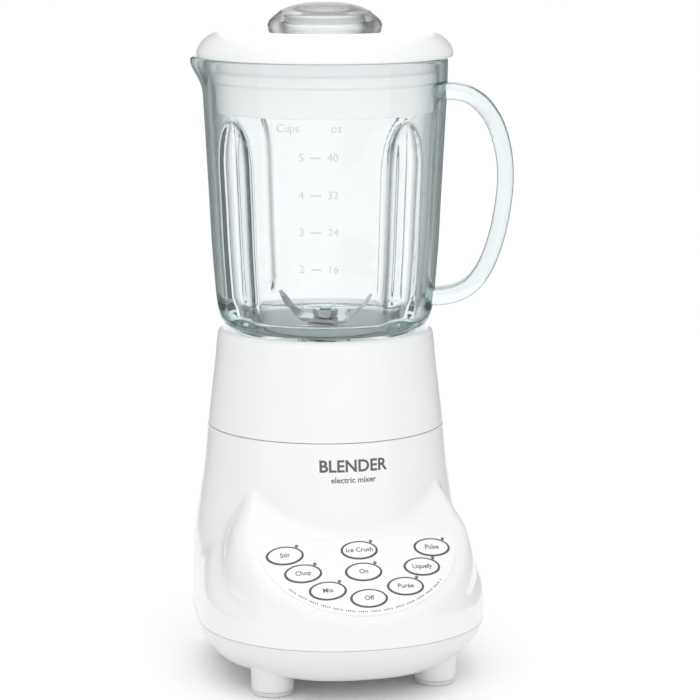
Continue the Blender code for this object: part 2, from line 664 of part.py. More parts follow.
def make_blade_housing(jar):
    """Grey dish that closes the jar, with seats for bushes and seal."""
    profile = ((38.8, 168.3), (48.8, 168.3), (48.8, 173.2), (42.0, 173.4), (38.0, 175.4), (28.0, 179.2),
               (14.0, 181.8), (11.6, 183.0), (11.0, 191.0), (6.6, 191.0), (6.6, 178.5), (4.6, 178.5),
               (4.6, 173.8), (6.6, 173.8), (6.6, 166.5), (10.6, 166.5), (11.6, 177.0), (26.0, 175.4),
               (34.0, 172.6))
    put("blade_housing", turned(profile, RINGS), "grey_plastic", jar)


def make_shaft_fittings(jar):
    """Two bushes and a lip seal on the blade shaft."""
    for name, low, high, finish in (("shaft_bush_lower", 166.8, 173.5, "bronze"),
                                    ("shaft_bush_upper", 178.8, 185.4, "bronze"),
                                    ("shaft_seal", 185.8, 190.4, "rubber")):
        profile = ((3.8, low), (6.3, low), (6.3, high), (3.8, high))
        put(name, turned(profile), finish, jar)


def make_blade_shaft(jar):
    """Blade shaft with the shoulder that the blades stand on."""
    profile = ((0.0, 162.4), (3.0, 162.4), (BLADE_SHAFT_RADIUS, 163.0), (BLADE_SHAFT_RADIUS, 191.2), (6.0, 191.2),
               (6.0, 193.0), (BLADE_SHAFT_RADIUS, 193.0), (BLADE_SHAFT_RADIUS, 204.4), (3.0, 205.0), (0.0, 205.0))
    put("blade_shaft", turned(profile, 16), "steel", jar)


def make_jar_coupling(jar):
    """Socket on the lower end of the blade shaft, open downward for the drive star."""
    profile = ((0.0, 151.3), (14.5, 151.3), (14.5, 163.5), (12.0, 166.0), (0.0, 166.0))
    socket = put("jar_coupling", turned(profile), "black_plastic", jar)
    cut(socket, prism(star(10.6, 7.6), 140.0, 162.0), "coupling_pocket", jar.parent)
    cut(socket, prism(circle(3.8, 0.0, 16), 155.0, 170.0), "coupling_bore")


def make_blade(name, path, turn, jar):
    """Bent steel strip with sharpened, tapering arms on both sides of the shaft."""
    def ring(x, z, half, thick):
        return [Vector((x, -half, z)), Vector((x, half, z)), Vector((x, half, z + thick)),
                Vector((x, -half, z + thick))]
    right = [ring(x, z, half, BLADE_PLATE) for x, z, half in path]
    left = [ring(-x, z, half, BLADE_PLATE) for x, z, half in reversed(path)]
    blade = put(name, skin(left + right), "steel", jar)
    blade.rotation_euler.z = turn
    cut(blade, prism(circle(BLADE_SHAFT_RADIUS + GAP, 0.0, 16), 190.0, 200.0), name + "_hole")


def make_blades(jar):
    """Lower pair swept outward, upper pair turned up, and the nut."""
    lower = ((7.0, 193.3, 7.0), (14.0, 193.3, 6.5), (20.0, 194.6, 5.5), (28.0, 196.2, 4.2), (34.0, 193.6, 2.4),
             (37.0, 191.8, 0.6))
    upper = ((7.0, 195.2, 7.0), (13.0, 195.2, 6.5), (17.0, 197.8, 6.0), (21.0, 204.0, 5.0), (25.0, 210.6, 3.2),
             (28.0, 214.6, 0.6))
    make_blade("blade_lower", lower, math.radians(72.0), jar)
    make_blade("blade_upper", upper, math.radians(-12.0), jar)
    nut = [circle(6.6, 197.2, 6), circle(6.6, 202.4, 6), circle(4.4, 202.4, 6), circle(4.4, 197.2, 6)]
    put("blade_nut", skin(nut, closed=True), "steel", jar)


def make_gasket(jar):
    """Rubber ring between the jar's neck and the blade housing."""
    profile = ((43.2, 173.7), (48.0, 173.7), (48.0, 175.7), (43.2, 175.7))
    put("jar_gasket", turned(profile, RINGS), "white_rubber", jar)


# ---------------------------------------------------------------- jar, lid and cap

def flute(angle, z):
    """Return how far a flute sinks the glass: four arches with pointed tops."""
    if not FLUTE_LOW < z < FLUTE_HIGH:
        return 0.0
    rise = (z - FLUTE_LOW) / (FLUTE_HIGH - FLUTE_LOW)
    half = FLUTE_HALF_WIDTH * math.sqrt(min(1.0, 3.2 * (1.0 - rise)))
    away = min(abs((angle - math.radians(corner) + math.pi) % math.tau - math.pi) for corner in (45, 135, 225, 315))
    if away >= half:
        return 0.0
    end = min(1.0, 6.0 * rise, 4.0 * (1.0 - rise))
    return FLUTE_DEPTH * end * math.cos(math.pi / 2 * away / half) ** 2


def spout(angle, z):
    """Return how far the pouring lip stands out, opposite the handle."""
    away = abs((angle + math.tau) % math.tau - math.pi)
    if away >= SPOUT_HALF_WIDTH or z <= SPOUT_START:
        return 0.0
    rise = smooth_step((z - SPOUT_START) / (JAR_TOP - 3.0 - SPOUT_START))
    return SPOUT_REACH * rise * math.cos(math.pi / 2 * away / SPOUT_HALF_WIDTH) ** 2


def jar_ring(z, inset, segments=JAR_FACETS):
    """Return a ring of the jar's wall, inset from its outer face."""
    ring = []
    for i in range(segments):
        angle = math.tau * i / segments
        radius = on_profile(JAR_PROFILE, z) - inset - flute(angle, z) + spout(angle, z)
        ring.append(Vector((radius * math.cos(angle), radius * math.sin(angle), z)))
    return ring


def handle_mesh():
    """Return the strap handle: a rounded section swept along its path."""
    thick, width = HANDLE_SECTION
    section = rounded_rectangle(thick / 2.0, width / 2.0, 3.0, 1)
    points = [Vector((r, 0.0, z)) for r, z in HANDLE_PATH]
    rings = []
    for i, point in enumerate(points):
        along = (points[min(i + 1, len(points) - 1)] - points[max(i - 1, 0)]).normalized()
        outward = Vector((along.z, 0.0, -along.x))
        rings.append([point + outward * p.x + Vector((0.0, p.y, 0.0)) for p in section])
    return skin(rings)


def make_glass_jar(jar):
    """Fluted jar with its neck, spout and strap handle, all one piece of glass."""
    outer = [jar_ring(z, 0.0) for z in (198.5, 205.0, 216.0, 250.0, 290.0, 306.0, 318.0, 336.0, JAR_TOP)]
    inner = [jar_ring(z, GLASS) for z in (JAR_TOP, 336.0, 318.0, 298.0, 250.0, 208.0)]
    neck_in = [circle(r, z, JAR_FACETS) for r, z in ((50.0, 202.0), (43.0, 199.5), (43.0, NECK_BOTTOM))]
    neck_out = [circle(r, z, JAR_FACETS) for r, z in ((48.0, NECK_BOTTOM), (48.0, JAR_FLOOR), (55.5, JAR_FLOOR))]
    glass = put("glass_jar", skin(neck_out + outer + inner + neck_in, closed=True), "glass", jar)
    join(glass, handle_mesh(), "handle")


def make_lid(jar):
    """White lid: rolled rim, dished top, sleeve for the cap and a plug that fills the jar's mouth."""
    profile = ((72.8, LID_UNDER), (72.2, 354.6), (69.4, 359.2), (64.0, 363.8), (57.0, LID_CREST),
               (50.5, 364.8), (46.5, 362.4), (34.0, 361.9), (27.8, 361.9), (27.8, 352.0), (30.6, 352.0),
               (30.6, 358.6), (45.0, 359.0), (54.0, 361.0), (58.6, 359.0), (59.2, 319.5), (61.8, 319.5),
               (62.2, 336.5), (63.6, 338.0), (63.6, 342.0), (62.4, 343.4), (62.4, LID_UNDER))
    put("lid", turned(profile, RINGS), "white_plastic", jar)


def make_measuring_cap(jar):
    """Clear cup that closes the lid's hole, domed on top and open below."""
    profile = ((0.0, CAP_TOP), (15.0, 379.6), (23.5, 376.8), (27.5, 373.6), (31.6, 370.4), (32.6, 367.0),
               (31.8, 363.4), (30.4, 362.3), (26.8, 362.3), (26.3, 340.0), (24.2, 340.0), (24.6, 365.0),
               (22.0, 371.4), (14.0, 375.8), (0.0, 377.4))
    put("measuring_cap", turned(profile, 24), "clear_plastic", jar)


# ---------------------------------------------------------------- assembly

def empty(name, location, rotation=(0.0, 0.0, 0.0), parent=None):
    """Return an empty that carries a group of pieces."""
    item = bpy.data.objects.new(name, None)
    bpy.context.collection.objects.link(item)
    item.location = Vector(location) * MM
    item.rotation_euler = rotation
    item.parent = parent
    return item


def build_base(root):
    """Make the shells, the panel and everything fixed in the base."""
    panel = empty("panel_frame", (0.0, -PANEL_TOP_Y, PANEL_TOP_Z), (PANEL_TILT, 0.0, 0.0), root)
    make_housing(root, panel)
    make_bottom_cover(root)
    make_feet(root)
    make_housing_screws(root)
    make_cord_gland(root)
    make_overlay(panel)
    for name in BUTTONS:
        make_button(name, panel)
    make_panel_electronics(panel)


def build_motor(root):
    """Make the motor, its brackets and the drive star."""
    make_motor_shaft(root)
    make_rotor(root)
    make_stator(root)
    make_field_coil("field_coil_left", -1, root)
    make_field_coil("field_coil_right", 1, root)
    make_motor_bracket("motor_bottom_bracket", BRACKET_LOW_Z, 44.0, 53.0, (45.8, 53.0),
                       (49.0, STACK_LOW - GAP), root)
    make_motor_bracket("motor_top_bracket", BRACKET_HIGH_Z, 116.0, 127.0, (116.0, 125.2),
                       (STACK_HIGH + GAP, 119.0), root)
    make_bearings(root)
    make_brush("carbon_brush_left", "brush_holder_left", -1, root)
    make_brush("carbon_brush_right", "brush_holder_right", 1, root)
    make_cooling_fan(root)
    make_motor_screws(root)
    make_drive_coupling(root)


def build_jar(root):
    """Make the jar side, turned about the drive axis."""
    jar = empty("jar_frame", (0.0, 0.0, 0.0), (0.0, 0.0, JAR_TURN), root)
    make_locking_ring(jar)
    make_blade_housing(jar)
    make_shaft_fittings(jar)
    make_blade_shaft(jar)
    make_jar_coupling(jar)
    make_blades(jar)
    make_gasket(jar)
    make_glass_jar(jar)
    make_lid(jar)
    make_measuring_cap(jar)


def build():
    """Make the whole blender."""
    clear_scene()
    root = empty("drive_axis", (AXIS_X, AXIS_Y, 0.0))
    build_base(root)
    build_motor(root)
    build_jar(root)


build()
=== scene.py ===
"""Looks of the countertop blender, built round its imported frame.

Shapes are drawn in millimetres round the drive axis, on which motor, blades, jar and lid stand, and
are moved to the frame's place when they become pieces. The front of the base is -Y. Angles in plan
on the base are counted from the front towards +X; angles on the jar are counted from its handle.
"""

from __future__ import annotations

import json
import logging
import math
from dataclasses import dataclass, field
from enum import Enum
from typing import Callable, Iterable, Sequence

import bmesh
import bpy
from mathutils import Matrix, Vector

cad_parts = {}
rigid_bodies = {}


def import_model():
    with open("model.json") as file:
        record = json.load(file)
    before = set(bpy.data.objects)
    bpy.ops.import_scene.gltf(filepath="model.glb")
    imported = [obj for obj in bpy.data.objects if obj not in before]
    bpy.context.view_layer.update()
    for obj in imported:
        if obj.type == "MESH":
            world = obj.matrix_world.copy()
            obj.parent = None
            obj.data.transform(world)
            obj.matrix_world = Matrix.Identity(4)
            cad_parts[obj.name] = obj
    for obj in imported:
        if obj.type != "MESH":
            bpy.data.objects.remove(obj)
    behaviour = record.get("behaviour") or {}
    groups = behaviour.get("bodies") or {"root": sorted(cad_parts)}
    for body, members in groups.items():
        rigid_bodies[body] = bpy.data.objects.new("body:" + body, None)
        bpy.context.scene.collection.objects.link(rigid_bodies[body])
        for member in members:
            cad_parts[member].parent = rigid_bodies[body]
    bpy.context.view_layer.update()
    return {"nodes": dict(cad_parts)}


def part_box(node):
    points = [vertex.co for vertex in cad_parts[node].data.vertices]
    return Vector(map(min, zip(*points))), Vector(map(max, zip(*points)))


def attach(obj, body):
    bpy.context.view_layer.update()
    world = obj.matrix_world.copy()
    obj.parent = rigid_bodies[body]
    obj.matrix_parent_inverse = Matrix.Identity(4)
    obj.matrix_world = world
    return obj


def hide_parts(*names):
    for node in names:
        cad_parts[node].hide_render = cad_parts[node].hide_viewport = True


LOG = logging.getLogger("blender_looks")
MM = 0.001
STRAIGHT = math.radians(89.0)  # half a corner's angle, past which it isn't worth rounding
JAR_TURN = math.radians(-17.0)

Colour = tuple[float, float, float]
Profile = Sequence[tuple[float, float]]
Outline = list[tuple[float, float]]
Mesh = bmesh.types.BMesh
Item = bpy.types.Object
Socket = bpy.types.NodeSocket


# ---------------------------------------------------------------- numbers

def ease(value: float) -> float:
    """Ease a value from 0 to 1, flat at both ends."""
    value = min(max(value, 0.0), 1.0)
    return value * value * (3.0 - 2.0 * value)


def soft_max(a: float, b: float, blend: float) -> float:
    """Return the larger of two values, rounded over where they meet.

    Args:
        a: First value.
        b: Second value.
        blend: How far apart the values are when the rounding starts.

    Returns:
        The rounded maximum.
    """
    overlap = max(blend - abs(a - b), 0.0)
    return max(a, b) + overlap * overlap / (4.0 * blend)


def soft_min(a: float, b: float, blend: float) -> float:
    """Return the smaller of two values, rounded over where they meet."""
    return -soft_max(-a, -b, blend)


def flowing(points: Profile, at: float) -> float:
    """Read a smooth curve through rising points.

    Args:
        points: (position, value) pairs in rising order of position.
        at: The position to read.

    Returns:
        The value there, held at the ends.
    """
    if at <= points[0][0]:
        return points[0][1]
    if at >= points[-1][0]:
        return points[-1][1]
    index = next(i for i in range(1, len(points)) if at <= points[i][0])
    (x0, y0), (x1, y1) = points[index - 1], points[index]
    before, after = points[max(index - 2, 0)], points[min(index + 1, len(points) - 1)]
    span = x1 - x0
    start = (y1 - before[1]) / (x1 - before[0]) * span
    end = (after[1] - y0) / (after[0] - x0) * span
    t = (at - x0) / span
    return ((2 * t ** 3 - 3 * t ** 2 + 1) * y0 + (t ** 3 - 2 * t ** 2 + t) * start
            + (3 * t ** 2 - 2 * t ** 3) * y1 + (t ** 3 - t ** 2) * end)


def steps(start: float, end: float, count: int) -> list[float]:
    """Return count + 1 evenly spaced values from start to end."""
    return [start + (end - start) * i / count for i in range(count + 1)]


def filleted(corners: Sequence[tuple[float, float, float]], arc_steps: int = 5) -> Outline:
    """Round the corners of an outline.

    Args:
        corners: (x, y, radius) of each corner, in order. Zero keeps a corner sharp.
        arc_steps: Faces along each round.

    Returns:
        The outline's points, with each round as an arc. The first and last corner stay sharp
        when they lie on the axis (x of zero).
    """
    outline: Outline = []
    count = len(corners)
    for i, (x, y, radius) in enumerate(corners):
        here = Vector((x, y))
        back = Vector(corners[i - 1][:2]) - here
        ahead = Vector(corners[(i + 1) % count][:2]) - here
        if radius <= 0.0 or x == 0.0 or back.length < 1e-6 or ahead.length < 1e-6:
            outline.append((x, y))
            continue
        half = back.angle(ahead) / 2.0
        if half > STRAIGHT:
            outline.append((x, y))
            continue
        reach = min(radius / math.tan(half), 0.48 * back.length, 0.48 * ahead.length)
        start, end = here + back.normalized() * reach, here + ahead.normalized() * reach
        for t in steps(0.0, 1.0, arc_steps):
            point = (1 - t) ** 2 * start + 2 * t * (1 - t) * here + t * t * end
            outline.append((point.x, point.y))
    return outline


def spline(points: Sequence[Sequence[float]], per_span: int) -> list[Vector]:
    """Return points along a smooth curve through the given ones.

    Args:
        points: Points that the curve passes through.
        per_span: Steps between two neighbouring points.

    Returns:
        The curve's points, both ends included.
    """
    nodes = [Vector(p) for p in points]
    nodes = [2 * nodes[0] - nodes[1]] + nodes + [2 * nodes[-1] - nodes[-2]]
    curve: list[Vector] = []
    for a, b, c, d in zip(nodes, nodes[1:], nodes[2:], nodes[3:]):
        for i in range(per_span):
            t = i / per_span
            curve.append(0.5 * (2 * b + (c - a) * t + (2 * a - 5 * b + 4 * c - d) * t * t
                                + (3 * b - a - 3 * c + d) * t ** 3))
    curve.append(nodes[-2].copy())
    return curve


# ---------------------------------------------------------------- meshes

def circle(radius: float, z: float, segments: int) -> list[Vector]:
    """Lay a level ring of points round the drive axis.

    Args:
        radius: The ring's radius. Zero gives a single point, a pole.
        z: The ring's height.
        segments: How many points it has.

    Returns:
        The ring's points.
    """
    if radius == 0.0:
        return [Vector((0.0, 0.0, z))]
    turns = (math.tau * i / segments for i in range(segments))
    return [Vector((radius * math.cos(turn), radius * math.sin(turn), z)) for turn in turns]


def skin(rings: Sequence[Sequence[Vector]], closed: bool = False) -> Mesh:
    """Stretch faces over rings of points.

    Args:
        rings: Rings with equal counts of points; a ring of one point is a pole.
        closed: Join the last ring to the first.

    Returns:
        The closed mesh, with its faces pointing out.
    """
    mesh = bmesh.new()
    rows = [[mesh.verts.new(point) for point in ring] for ring in rings]
    pairs = list(zip(rows, rows[1:]))
    if closed:
        pairs.append((rows[-1], rows[0]))
    for low, high in pairs:
        count = max(len(low), len(high))
        for i in range(count):
            j = (i + 1) % count
            corners = [low[i % len(low)], low[j % len(low)], high[j % len(high)], high[i % len(high)]]
            mesh.faces.new(list(dict.fromkeys(corners)))
    if not closed:
        for row in (rows[0], rows[-1]):
            if len(row) > 2:
                mesh.faces.new(row)
    bmesh.ops.recalc_face_normals(mesh, faces=mesh.faces)
    return mesh


def turned(profile: Profile, segments: int = 128) -> Mesh:
    """Turn a profile of (radius, height) points round the drive axis."""
    return skin([circle(r, z, segments) for r, z in profile], closed=profile[0][0] != 0.0)


def moved(mesh: Mesh, place: Matrix) -> Mesh:
    """Move a mesh by a matrix and return it."""
    bmesh.ops.transform(mesh, matrix=place, verts=mesh.verts)
    return mesh


def merged(parts: Iterable[Mesh]) -> Mesh:
    """Gather several meshes into one.

    Args:
        parts: The meshes, which are used up.

    Returns:
        One mesh that holds them all.
    """
    whole = bmesh.new()
    for part in parts:
        data = bpy.data.meshes.new("part")
        part.to_mesh(data)
        part.free()
        whole.from_mesh(data)
        bpy.data.meshes.remove(data)
    return whole


def prism(outline: Iterable[Sequence[float]], low: float, high: float) -> Mesh:
    """Return a solid with a level outline between two heights."""
    points = list(outline)
    return skin([[Vector((p[0], p[1], z)) for p in points] for z in (low, high)])


def slab(outline: Sequence[tuple[float, float]], low: float, high: float, edge: float) -> Mesh:
    """Return a flat solid whose upper rim is rounded over.

    Args:
        outline: The outline's points, anticlockwise.
        low: Lower height.
        high: Upper height.
        edge: Radius of the rounded upper rim.

    Returns:
        The mesh.
    """
    middle = Vector((sum(p[0] for p in outline), sum(p[1] for p in outline))) / len(outline)
    rings = [[Vector((x, y, low)) for x, y in outline]]
    for turn in steps(0.0, math.pi / 2, 4):
        inset, height = edge * (1.0 - math.cos(turn)), high - edge * (1.0 - math.sin(turn))
        ring = []
        for x, y in outline:
            inward = (middle - Vector((x, y))).normalized() * inset
            ring.append(Vector((x + inward.x, y + inward.y, height)))
        rings.append(ring)
    return skin(rings)


def swept(section: Callable[[float], Outline], path: list[Vector],
          side: Vector) -> Mesh:
    """Sweep a section along a flat path.

    Args:
        section: Outline of (outward, sideways) points, for a share of the way from 0 to 1.
        path: Points of the path, all square to side.
        side: Unit vector square to the path's plane.

    Returns:
        The mesh, with filled ends.
    """
    rings = []
    last = len(path) - 1
    for i, point in enumerate(path):
        along = (path[min(i + 1, last)] - path[max(i - 1, 0)]).normalized()
        outward = side.cross(along)
        rings.append([point + outward * a + side * b for a, b in section(i / last)])
    return skin(rings)


def rounded_box(half_x: float, half_y: float, radius: float, arc: int = 6) -> Outline:
    """Draw a rectangle with round corners.

    Args:
        half_x: Half of its width.
        half_y: Half of its height.
        radius: Radius of the corners.
        arc: Steps round a corner.

    Returns:
        The outline, anticlockwise.
    """
    outline = []
    for quarter, (sx, sy) in enumerate(((1, 1), (-1, 1), (-1, -1), (1, -1))):
        for i in range(arc + 1):
            turn = math.pi / 2 * (quarter + i / arc)
            outline.append((sx * (half_x - radius) + radius * math.cos(turn),
                            sy * (half_y - radius) + radius * math.sin(turn)))
    return outline


def lettering(words: str, height: float, depth: float, weight: float = 0.0) -> Mesh:
    """Return plain raised letters, centred, in the XY plane.

    Args:
        words: What the letters say.
        height: Size of the letters.
        depth: How far they stand up from z = 0.
        weight: How much the strokes are fattened.

    Returns:
        The mesh.
    """
    text = bpy.data.curves.new("letters", 'FONT')
    text.body = words
    text.size = height
    text.align_x = 'CENTER'
    text.align_y = 'CENTER'
    text.extrude = depth / 2.0
    text.resolution_u = 3
    text.offset = weight
    carrier = bpy.data.objects.new("letters", text)
    data = bpy.data.meshes.new_from_object(carrier)
    mesh = bmesh.new()
    mesh.from_mesh(data)
    bpy.data.objects.remove(carrier)
    bpy.data.curves.remove(text)
    bpy.data.meshes.remove(data)
    bmesh.ops.remove_doubles(mesh, verts=mesh.verts, dist=0.0005)
    return moved(mesh, Matrix.Translation((0.0, 0.0, depth / 2.0)))


# ---------------------------------------------------------------- finishes

class NodeBench:
    """Builds one node-based material round a Principled shader."""

    most_turns = 4.5

    def __init__(self, name: str) -> None:
        """Start an empty material with its shader and object coordinates.

        Args:
            name: The material's name.
        """
        self.material = bpy.data.materials.new(name)
        self.material.use_nodes = True
        self.tree = self.material.node_tree
        self.shader = self.tree.nodes["Principled BSDF"]
        self.place = self.tree.nodes.new("ShaderNodeTexCoord").outputs["Object"]

    def set(self, **values: float | tuple) -> None:
        """Set sockets of the shader.

        Args:
            values: Plain values by socket name, with underscores for spaces.
        """
        for key, value in values.items():
            socket = self.shader.inputs[key.replace("_", " ")]
            socket.default_value = (*value, 1.0) if isinstance(value, tuple) and len(value) == 3 else value

    def stretched(self, scale: tuple[float, float, float]) -> Socket:
        """Stretch the object coordinates.

        Args:
            scale: How much denser a pattern gets along X, Y and Z.

        Returns:
            The stretched coordinates.
        """
        node = self.tree.nodes.new("ShaderNodeMapping")
        node.inputs["Scale"].default_value = scale
        self.tree.links.new(self.place, node.inputs["Vector"])
        return node.outputs["Vector"]

    def combine(self, operation: str, first: Socket, second: Socket | float) -> Socket:
        """Work out a value from two others, held between 0 and 1.

        Args:
            operation: The Math node's operation.
            first: The first value.
            second: The second value, linked or plain.

        Returns:
            The result.
        """
        node = self.tree.nodes.new("ShaderNodeMath")
        node.operation = operation
        node.use_clamp = True
        self.tree.links.new(first, node.inputs[0])
        if isinstance(second, float):
            node.inputs[1].default_value = second
        else:
            self.tree.links.new(second, node.inputs[1])
        return node.outputs["Value"]

    def noise(self, scale: float, detail: float = 2.0, vector: Socket | None = None) -> Socket:
        """Make a cloudy value.

        Args:
            scale: Features in a metre.
            detail: How many finer layers are added.
            vector: Coordinates, if not the object's own.

        Returns:
            The value, from 0 to 1.
        """
        node = self.tree.nodes.new("ShaderNodeTexNoise")
        node.inputs["Scale"].default_value = scale
        node.inputs["Detail"].default_value = detail
        self.tree.links.new(vector or self.place, node.inputs["Vector"])
        return node.outputs["Fac"]

    def bands(self, scale: float, direction: str, wobble: float = 0.0) -> Socket:
        """Make a banded value.

        Args:
            scale: How close the bands lie.
            direction: The axis along which they follow each other.
            wobble: How much they waver.

        Returns:
            The value, from 0 to 1.
        """
        node = self.tree.nodes.new("ShaderNodeTexWave")
        node.wave_type = 'BANDS'
        node.bands_direction = direction
        node.inputs["Scale"].default_value = scale
        node.inputs["Distortion"].default_value = wobble
        self.tree.links.new(self.place, node.inputs["Vector"])
        return node.outputs["Fac"]

    def cells(self, scale: float) -> Socket:
        """Make a value that rises from the middle of small cells.

        Args:
            scale: Cells in a metre.

        Returns:
            The value.
        """
        node = self.tree.nodes.new("ShaderNodeTexVoronoi")
        node.inputs["Scale"].default_value = scale
        self.tree.links.new(self.place, node.inputs["Vector"])
        return node.outputs["Distance"]

    def span(self, value: Socket, low: float, high: float) -> Socket:
        """Map a value to a range.

        Args:
            value: A value from 0 to 1.
            low: What 0 becomes.
            high: What 1 becomes.

        Returns:
            The mapped value.
        """
        node = self.tree.nodes.new("ShaderNodeMapRange")
        node.inputs["To Min"].default_value = low
        node.inputs["To Max"].default_value = high
        self.tree.links.new(value, node.inputs["Value"])
        return node.outputs["Result"]

    def tint(self, value: Socket, first: Colour, second: Colour) -> Socket:
        """Map a value to a colour between two.

        Args:
            value: A value from 0 to 1.
            first: The colour at 0.
            second: The colour at 1.

        Returns:
            The colour.
        """
        node = self.tree.nodes.new("ShaderNodeMix")
        node.data_type = 'RGBA'
        colours = [s for s in node.inputs if s.type == 'RGBA']
        colours[0].default_value = (*first, 1.0)
        colours[1].default_value = (*second, 1.0)
        self.tree.links.new(value, node.inputs["Factor"])
        return next(s for s in node.outputs if s.type == 'RGBA')

    def glancing(self, start: float, end: float) -> Socket:
        """Tell how far an outer surface turns edge-on.

        Args:
            start: Facing value below which the result is 0.
            end: Facing value above which it is 1.

        Returns:
            The value, which is 0 on inner sides.
        """
        facing = self.tree.nodes.new("ShaderNodeLayerWeight")
        facing.inputs["Blend"].default_value = 0.5
        limits = self.tree.nodes.new("ShaderNodeMapRange")
        limits.interpolation_type = 'SMOOTHSTEP'
        limits.inputs["From Min"].default_value = start
        limits.inputs["From Max"].default_value = end
        self.tree.links.new(facing.outputs["Facing"], limits.inputs["Value"])
        surface = self.tree.nodes.new("ShaderNodeNewGeometry")
        return self.combine('SUBTRACT', limits.outputs["Result"], surface.outputs["Backfacing"])

    def absorb(self, colour: Colour, density: float) -> None:
        """Take light away along the way through the material.

        Args:
            colour: The colour that is left.
            density: How strongly, for each metre.
        """
        node = self.tree.nodes.new("ShaderNodeVolumeAbsorption")
        node.inputs["Color"].default_value = (*colour, 1.0)
        node.inputs["Density"].default_value = density
        self.tree.links.new(node.outputs["Volume"], self.tree.nodes["Material Output"].inputs["Volume"])

    def feed(self, socket: str, value: Socket) -> None:
        """Link a value to a socket of the shader."""
        self.tree.links.new(value, self.shader.inputs[socket])

    def let_light_through(self) -> None:
        """Let light pass straight on to what stands behind glass, and out of glass after many turns."""
        clear = self.tree.nodes.new("ShaderNodeBsdfTransparent")
        clear.inputs["Color"].default_value = (0.99, 0.99, 0.99, 1.0)
        path = self.tree.nodes.new("ShaderNodeLightPath").outputs
        late = self.combine('GREATER_THAN', path["Ray Depth"], self.most_turns)
        plain = self.combine('MAXIMUM', path["Is Shadow Ray"], path["Is Diffuse Ray"])
        blend = self.tree.nodes.new("ShaderNodeMixShader")
        self.tree.links.new(self.combine('MAXIMUM', plain, late), blend.inputs[0])
        self.tree.links.new(self.shader.outputs["BSDF"], blend.inputs[1])
        self.tree.links.new(clear.outputs["BSDF"], blend.inputs[2])
        self.tree.links.new(blend.outputs["Shader"], self.tree.nodes["Material Output"].inputs["Surface"])

    def bump(self, height: Socket, strength: float, distance: float) -> None:
        """Give the surface relief.

        Args:
            height: The height, from 0 to 1.
            strength: How much of the relief shows.
            distance: What a height of 1 stands for, in metres.
        """
        node = self.tree.nodes.new("ShaderNodeBump")
        node.inputs["Strength"].default_value = strength
        node.inputs["Distance"].default_value = distance
        self.tree.links.new(height, node.inputs["Height"])
        self.tree.links.new(node.outputs["Normal"], self.shader.inputs["Normal"])


@dataclass(frozen=True)
class MouldedPlastic:
    """Injection-moulded plastic with a faint orange-peel surface."""

    name: str
    colour: Colour
    roughness: float = 0.25
    peel: float = 0.05
    grain: float = 420.0
    shift: float = 0.012
    coat: float = 0.0

    def make(self) -> bpy.types.Material:
        """Build the material.

        Returns:
            The material.
        """
        bench = NodeBench(self.name)
        cloudy = bench.noise(18.0, 3.0)
        low = tuple(c * (1.0 - self.shift) for c in self.colour)
        high = tuple(min(c * (1.0 + self.shift), 1.0) for c in self.colour)
        bench.feed("Base Color", bench.tint(cloudy, low, high))
        uneven = bench.noise(60.0, 4.0)
        bench.feed("Roughness", bench.span(uneven, self.roughness * 0.85, self.roughness * 1.15))
        bench.bump(bench.noise(self.grain, 2.0), self.peel, 0.0002)
        bench.set(IOR=1.5, Coat_Weight=self.coat, Coat_Roughness=0.06)
        return bench.material


@dataclass(frozen=True)
class ClearMoulding:
    """Clear glass or clear plastic with faint ripples from its mould, and painted shade where its outer face
    turns edge-on.
    """

    name: str
    tint: Colour
    # edge is painted shade: the colour laid on where the outer face turns edge-on
    edge: Colour
    ior: float
    ripple: float
    absorbs: float
    edge_shade_start: float = 0.25
    roughness: float = 0.0
    edge_shade_end: float = 0.78

    def make(self) -> bpy.types.Material:
        """Build the material.

        Returns:
            The material.
        """
        bench = NodeBench(self.name)
        bench.set(Transmission_Weight=1.0, IOR=self.ior)
        wavy = bench.noise(14.0, 2.0, bench.stretched((1.0, 1.0, 0.35)))
        bench.feed("Roughness", bench.span(bench.noise(90.0, 3.0), self.roughness, self.roughness + 0.02))
        # Painted shade: the base colour darkens to the edge colour where the outer face turns edge-on.
        glancing = bench.glancing(self.edge_shade_start, self.edge_shade_end)
        bench.feed("Base Color", bench.tint(glancing, self.tint, self.edge))
        bench.absorb(self.tint, self.absorbs)
        bench.bump(wavy, self.ripple, 0.001)
        bench.let_light_through()
        return bench.material


@dataclass(frozen=True)
class Metal:
    """Bare metal with a drawn or brushed grain."""

    name: str
    colour: Colour
    roughness: float
    grain: tuple[float, float, float] = (1.0, 1.0, 12.0)
    relief: float = 0.08

    def make(self) -> bpy.types.Material:
        """Build the material.

        Returns:
            The material.
        """
        bench = NodeBench(self.name)
        streaks = bench.noise(160.0, 4.0, bench.stretched(self.grain))
        dark = tuple(c * 0.88 for c in self.colour)
        bench.feed("Base Color", bench.tint(streaks, dark, self.colour))
        bench.feed("Roughness", bench.span(streaks, self.roughness * 0.75, self.roughness * 1.3))
        bench.bump(streaks, self.relief, 0.0001)
        bench.set(Metallic=1.0)
        return bench.material


@dataclass(frozen=True)
class Banded:
    """Material with fine parallel bands, such as stacked sheets, wound wire or bar segments."""

    name: str
    dark: Colour
    light: Colour
    pitch: float
    direction: str
    metallic: float
    roughness: float

    def make(self) -> bpy.types.Material:
        """Build the material.

        Returns:
            The material.
        """
        bench = NodeBench(self.name)
        bands = bench.bands(1.0 / (self.pitch * MM) / math.tau * 2.0, self.direction, 0.3)
        bench.feed("Base Color", bench.tint(bands, self.dark, self.light))
        uneven = bench.noise(140.0, 3.0)
        bench.feed("Roughness", bench.span(uneven, self.roughness * 0.8, self.roughness * 1.2))
        bench.bump(bands, 0.6, self.pitch * MM * 0.3)
        bench.set(Metallic=self.metallic)
        return bench.material


